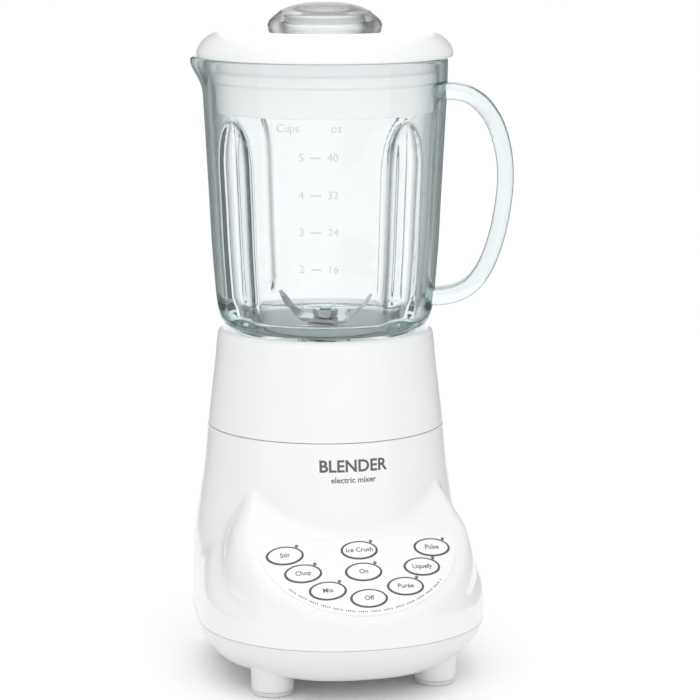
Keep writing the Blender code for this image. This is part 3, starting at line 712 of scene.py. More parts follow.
@dataclass(frozen=True)
class Rubber:
    """Soft matt rubber with a powdery grain."""

    name: str
    colour: Colour
    roughness: float = 0.75

    def make(self) -> bpy.types.Material:
        """Build the material.

        Returns:
            The material.
        """
        bench = NodeBench(self.name)
        grain = bench.noise(900.0, 4.0)
        bench.feed("Base Color", bench.tint(grain, tuple(c * 0.85 for c in self.colour), self.colour))
        bench.feed("Roughness", bench.span(bench.noise(70.0), self.roughness - 0.08, self.roughness + 0.08))
        bench.bump(grain, 0.25, 0.0002)
        bench.set(Sheen_Weight=0.15, Sheen_Roughness=0.5)
        return bench.material


@dataclass(frozen=True)
class Speckled:
    """Grainy material with small cells, such as sintered bronze, carbon or a circuit board."""

    name: str
    dark: Colour
    light: Colour
    scale: float
    metallic: float
    roughness: float

    def make(self) -> bpy.types.Material:
        """Build the material.

        Returns:
            The material.
        """
        bench = NodeBench(self.name)
        cells = bench.cells(self.scale)
        bench.feed("Base Color", bench.tint(cells, self.dark, self.light))
        uneven = bench.noise(200.0)
        bench.feed("Roughness", bench.span(uneven, self.roughness * 0.8, self.roughness * 1.2))
        bench.bump(cells, 0.3, 0.0001)
        bench.set(Metallic=self.metallic)
        return bench.material


@dataclass(frozen=True)
class Ink:
    """Printed ink, a little uneven in its cover."""

    name: str
    colour: Colour

    def make(self) -> bpy.types.Material:
        """Build the material.

        Returns:
            The material.
        """
        bench = NodeBench(self.name)
        cover = bench.noise(700.0, 3.0)
        bench.feed("Base Color", bench.tint(cover, self.colour, tuple(c * 1.25 for c in self.colour)))
        bench.feed("Roughness", bench.span(cover, 0.32, 0.5))
        bench.bump(cover, 0.1, 0.00005)
        return bench.material


class Finish(Enum):
    """The finishes of the object's pieces, each with its slot in the record."""

    WHITE = ("white_plastic",
             MouldedPlastic("white_gloss_moulding", (0.83, 0.835, 0.835), 0.17, 0.035, 380.0, 0.006, 0.2))
    # Painted light: the same white plastic made lighter, so that the lid's plug, seen through the jar's glass,
    # reads as lit as the rest.
    LID = ("white_plastic",
           MouldedPlastic("white_lid_painted_light", (0.865, 0.87, 0.87), 0.17, 0.03, 380.0, 0.006, 0.2))
    # Painted shade: the same white plastic made darker, standing in for the shade on the downward-facing bottom
    # cover.
    COVER = ("white_plastic",
             MouldedPlastic("white_cover_painted_shade", (0.78, 0.785, 0.785), 0.22, 0.04, 380.0, 0.006))
    PANEL = ("panel_film", MouldedPlastic("white_panel_face", (0.86, 0.865, 0.87), 0.28, 0.05, 900.0, 0.006))
    BUTTON = ("panel_film",
              MouldedPlastic("white_button_cap", (0.87, 0.875, 0.875), 0.2, 0.04, 700.0, 0.006, 0.2))
    LENS = (None, MouldedPlastic("smoked_status_lens", (0.13, 0.13, 0.14), 0.12, 0.02, 600.0, 0.05, 0.6))
    INK = (None, Ink("dark_grey_ink", (0.09, 0.09, 0.095)))
    # The second colour of the glass, the scale and the cap is painted shade, laid on where their outer faces
    # turn edge-on.
    GLASS = ("glass", ClearMoulding("jar_glass", (0.986, 0.992, 0.993), (0.07, 0.1, 0.1), 1.47, 0.10, 500.0))
    SCALE = ("glass", ClearMoulding("raised_glass_scale", (0.74, 0.77, 0.765), (0.6, 0.65, 0.64),
                                    1.45, 0.05, 1.0, 0.4, 0.3))
    CLEAR = ("clear_plastic", ClearMoulding("clear_cap_plastic", (0.95, 0.955, 0.955), (0.1, 0.1, 0.105),
                                            1.46, 0.05, 150.0, 0.18))
    GREY = ("grey_plastic", MouldedPlastic("grey_moulding", (0.46, 0.47, 0.475), 0.38, 0.12, 500.0, 0.03))
    BLACK = ("black_plastic", MouldedPlastic("black_nylon", (0.035, 0.035, 0.038), 0.42, 0.15, 500.0, 0.08))
    RUBBER = ("rubber", Rubber("black_rubber", (0.05, 0.05, 0.05)))
    PAD = ("white_rubber", Rubber("white_rubber_pad", (0.72, 0.72, 0.71), 0.6))
    STEEL = ("steel", Metal("stainless_steel", (0.62, 0.63, 0.64), 0.22))
    SCREW = ("steel", Metal("zinc_plated_steel", (0.58, 0.6, 0.63), 0.3, (1.0, 1.0, 1.0), 0.05))
    LAMINATION = ("lamination", Banded("steel_laminations", (0.16, 0.165, 0.18), (0.42, 0.43, 0.45),
                                       0.6, 'Z', 1.0, 0.42))
    COPPER = ("copper", Banded("copper_winding", (0.36, 0.13, 0.05), (0.78, 0.38, 0.19), 0.7, 'Z', 1.0, 0.3))
    SEGMENTS = ("copper", Banded("copper_segments", (0.3, 0.15, 0.08), (0.76, 0.42, 0.25),
                                 1.6, 'X', 1.0, 0.3))
    BRONZE = ("bronze", Speckled("sintered_bronze", (0.34, 0.22, 0.1), (0.62, 0.45, 0.24),
                                 1400.0, 1.0, 0.45))
    CARBON = ("carbon", Speckled("pressed_carbon", (0.02, 0.02, 0.022), (0.08, 0.08, 0.085),
                                 1800.0, 0.0, 0.55))
    BOARD = ("board", Speckled("green_circuit_board", (0.01, 0.1, 0.04), (0.05, 0.26, 0.11),
                               260.0, 0.0, 0.35))

    @property
    def slot(self) -> str | None:
        """The record's material slot, or None for print that keeps its own colour."""
        return self.value[0]

    @property
    def material(self) -> bpy.types.Material:
        """The finish's material, made on first use."""
        recipe = self.value[1]
        return bpy.data.materials.get(recipe.name) or recipe.make()


# ---------------------------------------------------------------- placing pieces

@dataclass
class Bench:
    """Knows where the drive axis stands and puts finished pieces on their bodies."""

    axis: Vector
    count: int = 0

    def item(self, name: str, mesh: Mesh, turn: float = 0.0, sharp: float = 32.0) -> Item:
        """Turn a mesh in millimetres into an object in the frame.

        Args:
            name: The object's name.
            mesh: The mesh, round the drive axis.
            turn: Turn about the drive axis, in radians.
            sharp: Edges steeper than this many degrees stay crisp.

        Returns:
            The object.
        """
        place = Matrix.Translation(self.axis) @ Matrix.Rotation(turn, 4, 'Z') @ Matrix.Scale(MM, 4)
        moved(mesh, place)
        data = bpy.data.meshes.new(name)
        mesh.to_mesh(data)
        mesh.free()
        data.shade_smooth()
        data.set_sharp_from_angle(angle=math.radians(sharp))
        made = bpy.data.objects.new(name, data)
        bpy.context.scene.collection.objects.link(made)
        return made

    def boolean(self, whole: Item, tool: Item, operation: str, sharp: float = 32.0) -> None:
        """Cut or join one object with another, which is used up.

        Args:
            whole: The object that is changed.
            tool: The object that is cut out or joined on.
            operation: 'DIFFERENCE', 'UNION' or 'INTERSECT'.
            sharp: Edges steeper than this many degrees stay crisp.
        """
        step = whole.modifiers.new("work", 'BOOLEAN')
        step.operation = operation
        step.solver = 'EXACT'
        step.object = tool
        ready = whole.evaluated_get(bpy.context.evaluated_depsgraph_get())
        data = bpy.data.meshes.new_from_object(ready)
        whole.modifiers.clear()
        whole.data = data
        data.shade_smooth()
        data.set_sharp_from_angle(angle=math.radians(sharp))
        bpy.data.objects.remove(tool, do_unlink=True)

    def settle(self, made: Item, finish: Finish, body: str, *nodes: str) -> Item:
        """Give an object its finish and its body.

        Args:
            made: The object.
            finish: Its finish.
            body: The body that carries it.
            nodes: The CAD nodes that it stands for.

        Returns:
            The object.
        """
        made.data.materials.clear()
        made.data.materials.append(finish.material)
        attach(made, body)
        if nodes:
            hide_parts(*nodes)
        self.count += 1
        LOG.info("%s rides on %s, %d faces", made.name, body, len(made.data.polygons))
        return made

    def piece(self, name: str, mesh: Mesh, finish: Finish, body: str, *nodes: str,
              turn: float = 0.0, sharp: float = 32.0) -> Item:
        """Make a piece from a mesh in one go.

        Args:
            name: The piece's name.
            mesh: The mesh, round the drive axis.
            finish: The piece's finish.
            body: The body that carries it.
            nodes: The CAD nodes that it stands for.
            turn: Turn about the drive axis, in radians.
            sharp: Edges steeper than this many degrees stay crisp.

        Returns:
            The object.
        """
        return self.settle(self.item(name, mesh, turn, sharp), finish, body, *nodes)


# ---------------------------------------------------------------- base surfaces

@dataclass
class BaseForm:
    """The outer form of the motor base: tower, flared skirt and sloping control pod."""

    half_width: float = 81.4
    widest_at: float = 39.0
    front: float = 115.0
    rear: float = 79.5
    power: float = 2.1
    seam: float = 33.5
    top: float = 139.5
    shoulder_start: float = 46.0
    shoulder_rise: float = 31.0
    shoulder_power: float = 1.7
    fall_front: float = 0.060
    fall_side: float = 0.103
    panel_tilt: float = math.radians(43.23)
    panel_y: float = 76.5
    panel_z: float = 87.7
    crown_radius: float = 521.5
    side_from: float = math.radians(42.0)
    side_span: float = math.radians(18.0)
    hollow_depth: float = 0.026
    hollow_half: float = math.radians(8.0)
    roll_wide: float = 61.0
    roll_narrow: float = 54.0
    roll_from: float = 87.0
    roll_rise: float = 16.0
    roll_strength: float = 0.03
    edge_blend: tuple[float, float] = (5.0, 11.0)
    crease_blend: float = 3.0
    tower: tuple[tuple[float, float], ...] = ((33.0, 78.0), (50.0, 77.9), (75.0, 77.0), (92.0, 74.5),
                                              (104.0, 72.5), (116.0, 70.7), (139.5, 68.2))
    plan_cache: dict[float, float] = field(default_factory=dict)

    def plan(self, angle: float) -> float:
        """Find the skirt's radius in plan.

        Args:
            angle: Angle from the front.

        Returns:
            The radius at the skirt's foot.
        """
        key = round(abs(angle), 5)
        if key not in self.plan_cache:
            near, far = 20.0, 160.0
            for _ in range(34):
                radius = (near + far) / 2.0
                forward = radius * math.cos(key) - self.widest_at
                depth = self.front - self.widest_at if forward > 0.0 else self.rear + self.widest_at
                power = self.power if forward > 0.0 else 2.0
                across = radius * math.sin(key) / self.half_width
                if across ** power + (abs(forward) / depth) ** power > 1.0:
                    far = radius
                else:
                    near = radius
            self.plan_cache[key] = near
        return self.plan_cache[key]

    def skirt(self, angle: float, z: float) -> float:
        """Find the skirt's radius, with its rounded shoulder and the hollows beside the pod.

        Args:
            angle: Angle from the front.
            z: Height.

        Returns:
            The radius.
        """
        side = ease((abs(angle) - self.side_from) / self.side_span)
        fall = self.fall_front + (self.fall_side - self.fall_front) * side
        rise = max(z - self.shoulder_start, 0.0) / self.shoulder_rise
        middle = math.radians(48.0 + 0.65 * (z - 62.0))
        hollow = math.exp(-((abs(angle) - middle) / self.hollow_half) ** 2)
        hollow *= ease((z - 46.0) / 12.0) * ease((98.0 - z) / 14.0)
        return self.plan(angle) * (1.0 - fall * rise ** self.shoulder_power - self.hollow_depth * hollow)

    def roll_off(self, across: float, z: float) -> float:
        """Find how far the slope rolls down above the panel's upper corners.

        Args:
            across: Distance from the middle of the panel.
            z: Height.

        Returns:
            The drop below the plain slope.
        """
        narrowed = ease((z - self.roll_from) / self.roll_rise)
        width = self.roll_wide - (self.roll_wide - self.roll_narrow) * narrowed
        grown = ease((z - self.roll_from) / (self.roll_rise / 2.0))
        return self.roll_strength * max(across - width, 0.0) ** 2 * grown

    def slope(self, angle: float, z: float) -> float:
        """Find where a level cut meets the crowned panel slope.

        Args:
            angle: Angle from the front.
            z: Height of the cut.

        Returns:
            The radius.
        """
        reach = self.panel_y + (self.panel_z - z) / math.tan(self.panel_tilt)
        near, far = 10.0, 260.0
        for _ in range(26):
            radius = (near + far) / 2.0
            across = abs(radius * math.sin(angle))
            drop = across * across / (2.0 * self.crown_radius) + self.roll_off(across, z)
            if radius * math.cos(angle) + drop / math.sin(self.panel_tilt) > reach:
                far = radius
            else:
                near = radius
        return near

    def radius(self, angle: float, z: float) -> float:
        """Find the radius of the base above the seam.

        Args:
            angle: Angle from the front.
            z: Height.

        Returns:
            The radius of the tower or the pod, whichever stands out further.
        """
        front, side = self.edge_blend
        blend = front + (side - front) * ease((abs(angle) - math.radians(36.0)) / math.radians(14.0))
        pod = soft_min(self.slope(angle, z), self.skirt(angle, z), blend)
        return soft_max(flowing(self.tower, z), pod, self.crease_blend)

    def ring(self, z: float, segments: int, reach: Callable[[float, float], float]) -> list[Vector]:
        """Lay a ring of points on the base.

        Args:
            z: Height of the ring.
            segments: How many points it has.
            reach: Gives the radius at an angle and a height.

        Returns:
            The ring's points, starting at the front.
        """
        points = []
        for i in range(segments):
            angle = math.tau * i / segments
            angle = angle - math.tau if angle > math.pi else angle
            radius = reach(angle, z)
            points.append(Vector((radius * math.sin(angle), -radius * math.cos(angle), z)))
        return points

    def panel_place(self) -> Matrix:
        """Return where the panel's own axes lie: X across, Y up the slope, Z out of it."""
        top = Matrix.Translation((0.0, -self.panel_y, self.panel_z))
        return top @ Matrix.Rotation(self.panel_tilt, 4, 'X')

    def crown(self, across: float) -> float:
        """Return how far the panel's crown has dropped at a distance from its middle."""
        return -across * across / (2.0 * self.crown_radius)


@dataclass
class MotorBase:
    """White shell of the base with its deck, bottom cover, feet, gland and screws."""

    bench: Bench
    form: BaseForm
    segments: int = 288
    wall: float = 2.8
    cover_curve: Profile = (
        (12.0, 0.850), (12.6, 0.872), (15.0, 0.902), (18.5, 0.932), (23.0, 0.962), (28.0, 0.986), (33.3, 1.0))
    feet: tuple[tuple[str, float, float], ...] = (
        ("front_left", -47.0, -71.0), ("front_right", 47.0, -71.0),
        ("rear_left", -41.0, 41.0), ("rear_right", 41.0, 41.0))
    screws: tuple[tuple[str, float, float], ...] = (
        ("front_left", -24.0, -84.0), ("front_right", 24.0, -84.0),
        ("rear_left", -60.0, 8.0), ("rear_right", 60.0, 8.0))
    gland_z: float = 46.0
    pocket_half: float = 54.4
    pocket_foot: float = 48.0
    pocket_top: float = 0.9
    pocket_depth: float = 4.4

    def build(self) -> None:
        """Make every outer piece of the base."""
        self.housing()
        self.bottom_cover()
        self.foot_pads()
        self.cord_gland()
        self.name_plate()

    def pocket(self, point: Vector) -> Vector:
        """Sink a point of the shell where the panel's parts go in.

        Args:
            point: A point of the shell's outer face.

        Returns:
            The point, moved in if it lies behind the panel.
        """
        place = self.form.panel_place()
        local = place.inverted() @ point
        limit = 1.0 - (local.x / self.pocket_half) ** 2
        if limit <= 0.0 or local.z < -8.0 or local.y > -self.pocket_top:
            return point
        inside = min(-self.pocket_top - local.y, local.y + self.pocket_foot * math.sqrt(limit),
                     (self.pocket_half - abs(local.x)) * 1.2)
        if inside <= 0.0:
            return point
        local.z -= self.pocket_depth * ease(inside / self.pocket_top)
        return place @ local

    def housing(self) -> None:
        """Tower, skirt and pod in one moulding, with its deck and its hollow inside."""
        form = self.form
        heights = [33.9] + steps(35.0, 52.0, 14) + steps(52.8, 96.0, 72) + steps(97.0, 138.6, 34)
        rings = [form.ring(33.7, self.segments, lambda a, z: form.radius(a, z) - 0.3)]
        rings += [form.ring(z, self.segments, form.radius) for z in heights]
        sunk = [[self.pocket(point) for point in ring] for ring in rings]
        deck = filleted([(68.3, 138.9, 0.0), (67.8, 139.5, 0.3), (58.8, 139.5, 0.8), (57.4, 148.0, 1.4),
                         (9.6, 148.0, 0.6), (9.0, 145.2, 0.0), (54.6, 145.2, 0.0), (55.8, 136.7, 0.0)], 5)
        middle = [circle(r, z, self.segments) for r, z in deck]
        middle = [self.turned_to_front(ring) for ring in middle]
        inner = [form.ring(z, self.segments, lambda a, h: form.radius(a, h) - self.wall - 6.2)
                 for z in (136.7, 120.0, 104.0, 90.0, 76.0, 62.0, 50.0, 40.0, 33.7)]
        shell = self.bench.item("housing_shell", skin(sunk + middle + inner, closed=True), sharp=38.0)
        bore = moved(prism([(p.x, p.y) for p in circle(7.0, 0.0, 40)], -92.0, -68.0),
                     Matrix.Translation((0.0, 0.0, self.gland_z)) @ Matrix.Rotation(math.pi / 2, 4, 'X'))
        self.bench.boolean(shell, self.bench.item("bore", bore), 'DIFFERENCE', 38.0)
        self.bench.settle(shell, Finish.WHITE, "base", "housing")

    def turned_to_front(self, ring: list[Vector]) -> list[Vector]:
        """Start a ring at the front, as the base's own rings do."""
        return [Vector((p.y, -p.x, p.z)) for p in ring]

    def bottom_cover(self) -> None:
        """Lower band and floor, with foot stubs, vents and screw wells."""
        form = self.form

        def reach(angle: float, z: float) -> float:
            """Find the cover's radius, rounded in more at the corners than at front and back.

            Args:
                angle: Angle from the front.
                z: Height.

            Returns:
                The radius.
            """
            turn = abs(math.degrees(angle))
            corner = ease((turn - 12.0) / 28.0) * (1.0 - 0.85 * ease((turn - 70.0) / 25.0))
            tuck = 1.0 + 0.36 * corner
            return form.radius(angle, form.seam + 0.2) * (1.0 - (1.0 - flowing(self.cover_curve, z)) * tuck)

        outer = [form.ring(z, self.segments, reach) for z in
                 (12.0, 12.15, 12.6, 13.4, 14.5, 16.0, 18.0, 20.0, 22.5, 25.0, 27.5, 30.0, 32.0, 32.9, 33.3)]
        rim = [form.ring(33.55, self.segments, lambda a, z: reach(a, z) - 0.3)]
        inner = [form.ring(z, self.segments, lambda a, h: reach(a, h) - self.wall)
                 for z in (33.55, 24.0, 18.0, 14.6)]
        rings = [circle(0.0, 12.0, 1)] + outer + rim + inner + [circle(0.0, 14.6, 1)]
        cover = self.bench.item("bottom_cover_shell", skin(rings), sharp=30.0)
        stub = filleted([(0.0, 17.0, 0.0), (12.3, 17.0, 0.0), (11.9, 3.1, 0.5), (9.0, 3.1, 0.0),
                         (9.0, 5.4, 0.0), (0.0, 5.4, 0.0)], 5)
        for _, x, y in self.feet:
            post = moved(turned(stub, 64), Matrix.Translation((x, y, 0.0)))
            self.bench.boolean(cover, self.bench.item("stub", post), 'UNION', 30.0)
        cutters = []
        for _, x, y in self.screws:
            well = [(0.0, 20.0), (2.1, 20.0), (2.1, 17.4), (4.0, 17.4), (4.0, 12.5), (4.6, 11.0), (0.0, 11.0)]
            cutters.append(moved(turned(well, 40), Matrix.Translation((x, y, 0.0))))
        for i in range(6):
            place = Matrix.Rotation(math.tau * i / 6, 4, 'Z') @ Matrix.Translation((30.0, 0.0, 0.0))
            cutters.append(moved(prism(rounded_box(9.0, 2.2, 2.1), 9.0, 17.0), place))
        self.bench.boolean(cover, self.bench.item("holes", merged(cutters)), 'DIFFERENCE', 30.0)
        # The cover takes the darker white, which is painted shade.
        self.bench.settle(cover, Finish.COVER, "base", "bottom_cover")

    def foot_pads(self) -> None:
        """Round pads with a shallow suction dish underneath."""
        pad = filleted([(0.0, 5.0, 0.0), (8.6, 5.0, 0.0), (8.6, 2.9, 0.0), (11.4, 2.9, 0.3), (11.4, 0.0, 2.6),
                        (5.4, 0.0, 0.4), (4.8, 0.7, 0.3), (0.0, 0.8, 0.0)], 7)
        for name, x, y in self.feet:
            mesh = moved(turned(pad, 64), Matrix.Translation((x, y, 0.0)))
            self.bench.piece("pad_" + name, mesh, Finish.PAD, "base", "foot_pad_" + name)

    def cord_gland(self) -> None:
        """Ribbed grommet in the rear wall."""
        profile = filleted([(4.0, -73.0, 0.4), (8.6, -73.0, 0.4), (8.6, -75.4, 0.4), (6.6, -76.0, 0.0),
                            (6.6, -80.1, 0.0), (8.6, -80.1, 0.3), (8.4, -81.2, 0.3), (7.4, -81.5, 0.2),
                            (7.0, -82.9, 0.5), (4.2, -83.0, 0.5)], 4)
        place = Matrix.Translation((0.0, 0.0, self.gland_z)) @ Matrix.Rotation(math.pi / 2, 4, 'X')
        mesh = moved(turned(profile, 56), place)
        self.bench.piece("cord_grommet", mesh, Finish.RUBBER, "base", "cord_gland")

    def name_plate(self) -> None:
        """Two lines of plain words, printed on the front of the tower."""
        parts = []
        for words, height, z, weight in (("BLENDER", 9.4, 126.8, 0.2), ("electric mixer", 4.6, 119.2, 0.06)):
            mesh = lettering(words, height, 0.12, weight)
            for vertex in mesh.verts:
                level = z + vertex.co.y
                radius = self.form.radius(0.0, level) + vertex.co.z - 0.04
                angle = vertex.co.x / radius
                vertex.co = Vector((radius * math.sin(angle), -radius * math.cos(angle), level))
            parts.append(mesh)
        self.bench.piece("front_wording", merged(parts), Finish.INK, "base")


@dataclass
class ControlPanel:
    """D-shaped panel face, nine oval buttons with printed rims, and their status lenses."""

    bench: Bench
    form: BaseForm
    half_width: float = 57.0
    depth: float = 50.5
    half_oval: tuple[float, float] = (10.35, 5.8)
    ticks: int = 84
    tick_spread: float = math.radians(52.0)
    lens_place: tuple[float, float] = (7.4, 5.5)
    buttons: tuple[tuple[str, str, float, float], ...] = (
        ("stir", "Stir", -42.0, 8.2), ("chop", "Chop", -33.8, 20.8), ("mix", "Mix", -22.0, 33.2),
        ("ice_crush", "Ice Crush", 0.0, 8.4), ("on", "On", 0.0, 22.6), ("off", "Off", 0.0, 39.8),
        ("pulse", "Pulse", 42.0, 8.2), ("liquify", "Liquefy", 33.8, 20.8), ("puree", "Pur\u00e9e", 22.0, 33.2))

    def build(self) -> None:
        """Make the panel face, the buttons and what is printed on them."""
        self.face()
        for name, words, across, down in self.buttons:
            self.button(name, across, down)
            self.label(name, words, across, down)
            self.rim(name, across, down)
            if name != "off":
                self.lens(name, across, down)
        self.tick_arc()

    def on_slope(self, mesh: Mesh, across: float, down: float) -> Mesh:
        """Lay a flat mesh on the crowned panel.

        Args:
            mesh: The mesh, drawn round its own middle.
            across: How far to the right of the panel's middle it goes.
            down: How far below the panel's top edge it goes.

        Returns:
            The mesh in its place.
        """
        for vertex in mesh.verts:
            x = vertex.co.x + across
            vertex.co = Vector((x, vertex.co.y - down, vertex.co.z + self.form.crown(x)))
        return moved(mesh, self.form.panel_place())

    def ellipse(self, grow: float, count: int = 72) -> Outline:
        """Return the outline of a button, grown on all sides."""
        a, b = self.half_oval[0] + grow, self.half_oval[1] + grow
        return [(a * math.cos(t), b * math.sin(t)) for t in steps(0.0, math.tau, count)[:-1]]

    def face(self) -> None:
        """Crowned plate with a soft rim and nine oval holes."""
        columns = 120
        rings = []
        for i in range(columns + 1):
            across = self.half_width * math.sin(math.radians(85.0) * (2.0 * i / columns - 1.0))
            corner = max(abs(across) - (self.half_width - 3.0), 0.0)
            edge = math.sqrt(9.0 - corner * corner) - 3.0
            foot = -self.depth * math.sqrt(1.0 - (across / self.half_width) ** 2)
            side = [(edge, -1.2), (foot, -1.2), (foot, 0.05), (foot + 0.12, 0.2), (foot + 0.35, 0.25),
                    (edge - 0.35, 0.25), (edge - 0.12, 0.2), (edge, 0.05)]
            rings.append([Vector((across, y, z)) for y, z in side])
        plate = self.bench.item("panel_face", self.on_slope(skin(rings), 0.0, 0.0), sharp=40.0)
        holes = []
        for _, _, across, down in self.buttons:
            hole = prism(self.ellipse(0.3), -6.0, 4.0)
            holes.append(moved(hole, self.form.panel_place() @ Matrix.Translation((across, -down, 0.0))))
        self.bench.boolean(plate, self.bench.item("holes", merged(holes)), 'DIFFERENCE', 40.0)
        self.bench.settle(plate, Finish.PANEL, "base", "panel_overlay")

    def button(self, name: str, across: float, down: float) -> None:
        """Domed oval cap with its hidden flange.

        Args:
            name: The button's name.
            across: How far right of the panel's middle it sits.
            down: How far below the panel's top edge it sits.
        """
        levels = ((0.6, -2.9), (0.6, -1.75), (0.0, -1.7), (0.0, 0.2), (-0.06, 0.36), (-0.25, 0.48),
                  (-0.6, 0.54), (-1.6, 0.6), (-3.0, 0.66))
        rings = [[Vector((0.0, 0.0, -2.9))]]
        rings += [[Vector((x, y, z)) for x, y in self.ellipse(grow)] for grow, z in levels]
        rings.append([Vector((0.0, 0.0, 0.7))])
        mesh = self.on_slope(skin(rings), across, down)
        self.bench.piece("cap_" + name, mesh, Finish.BUTTON, self.body(name), "button_" + name)

    def body(self, name: str) -> str:
        """Return the body that a button's pieces ride on."""
        return "button_%s_body" % name

    def label(self, name: str, words: str, across: float, down: float) -> None:
        """Plain word printed on a button.

        Args:
            name: The button's name.
            words: What it says.
            across: How far right of the panel's middle it sits.
            down: How far below the panel's top edge it sits.
        """
        mesh = lettering(words, 4.0, 0.1, 0.04)
        for vertex in mesh.verts:
            vertex.co.z += 0.6 + 0.09 * (1.0 - (vertex.co.x / 8.0) ** 2)
        self.bench.piece("word_" + name, self.on_slope(mesh, across, down), Finish.INK, self.body(name))

    def rim(self, name: str, across: float, down: float) -> None:
        """Printed dark band on a button's rim; painted shade makes it heavier at its sides than at top and
        bottom.

        Args:
            name: The button's name.
            across: How far right of the panel's middle it sits.
            down: How far below the panel's top edge it sits.
        """
        rings = []
        for turn in steps(0.0, math.tau, 96)[:-1]:
            c, s = math.cos(turn), math.sin(turn)
            # The extra width at the sides is painted shade of the groove round the cap, drawn in the ink.
            width = 0.7 + 0.35 * c * c
            ring = []
            for grow, z in ((0.06, 0.05), (0.06, 0.24), (-0.02, 0.42), (-0.24, 0.55), (-0.6, 0.61),
                            (-width, 0.635), (-width, 0.45), (-0.3, 0.35)):
                ring.append(Vector(((self.half_oval[0] + grow) * c, (self.half_oval[1] + grow) * s, z)))
            rings.append(ring)
        mesh = self.on_slope(skin(rings, closed=True), across, down)
        self.bench.piece("rim_" + name, mesh, Finish.INK, self.body(name))

    def lens(self, name: str, across: float, down: float) -> None:
        """Small domed status lens at the upper right of a button.

        Args:
            name: The button's name.
            across: How far right of the panel's middle it sits.
            down: How far below the panel's top edge it sits.
        """
        profile = filleted([(0.0, 0.2, 0.0), (0.95, 0.2, 0.0), (0.95, 0.55, 0.3), (0.0, 0.72, 0.0)], 6)
        mesh = self.on_slope(turned(profile, 32), across + self.lens_place[0], down - self.lens_place[1])
        self.bench.piece("lens_" + name, mesh, Finish.LENS, "base")

    def tick_arc(self) -> None:
        """Fine arc of printed ticks along the lower edge of the panel."""
        parts = []
        for i, turn in enumerate(steps(-self.tick_spread, self.tick_spread, self.ticks)):
            if i % 6 == 5:
                continue
            x, y = (self.half_width - 2.4) * math.sin(turn), (2.4 - self.depth) * math.cos(turn)
            wide, tall = (0.32, 0.45) if i % 3 else (0.18, 0.6)
            mark = slab([(wide, -tall), (wide, tall), (-wide, tall), (-wide, -tall)], 0.2, 0.32, 0.05)
            parts.append(moved(mark, Matrix.Translation((x, y, 0.0)) @ Matrix.Rotation(turn, 4, 'Z')))
        self.bench.piece("tick_arc", self.on_slope(merged(parts), 0.0, 0.0), Finish.INK, "base")


# ---------------------------------------------------------------- collar and blades

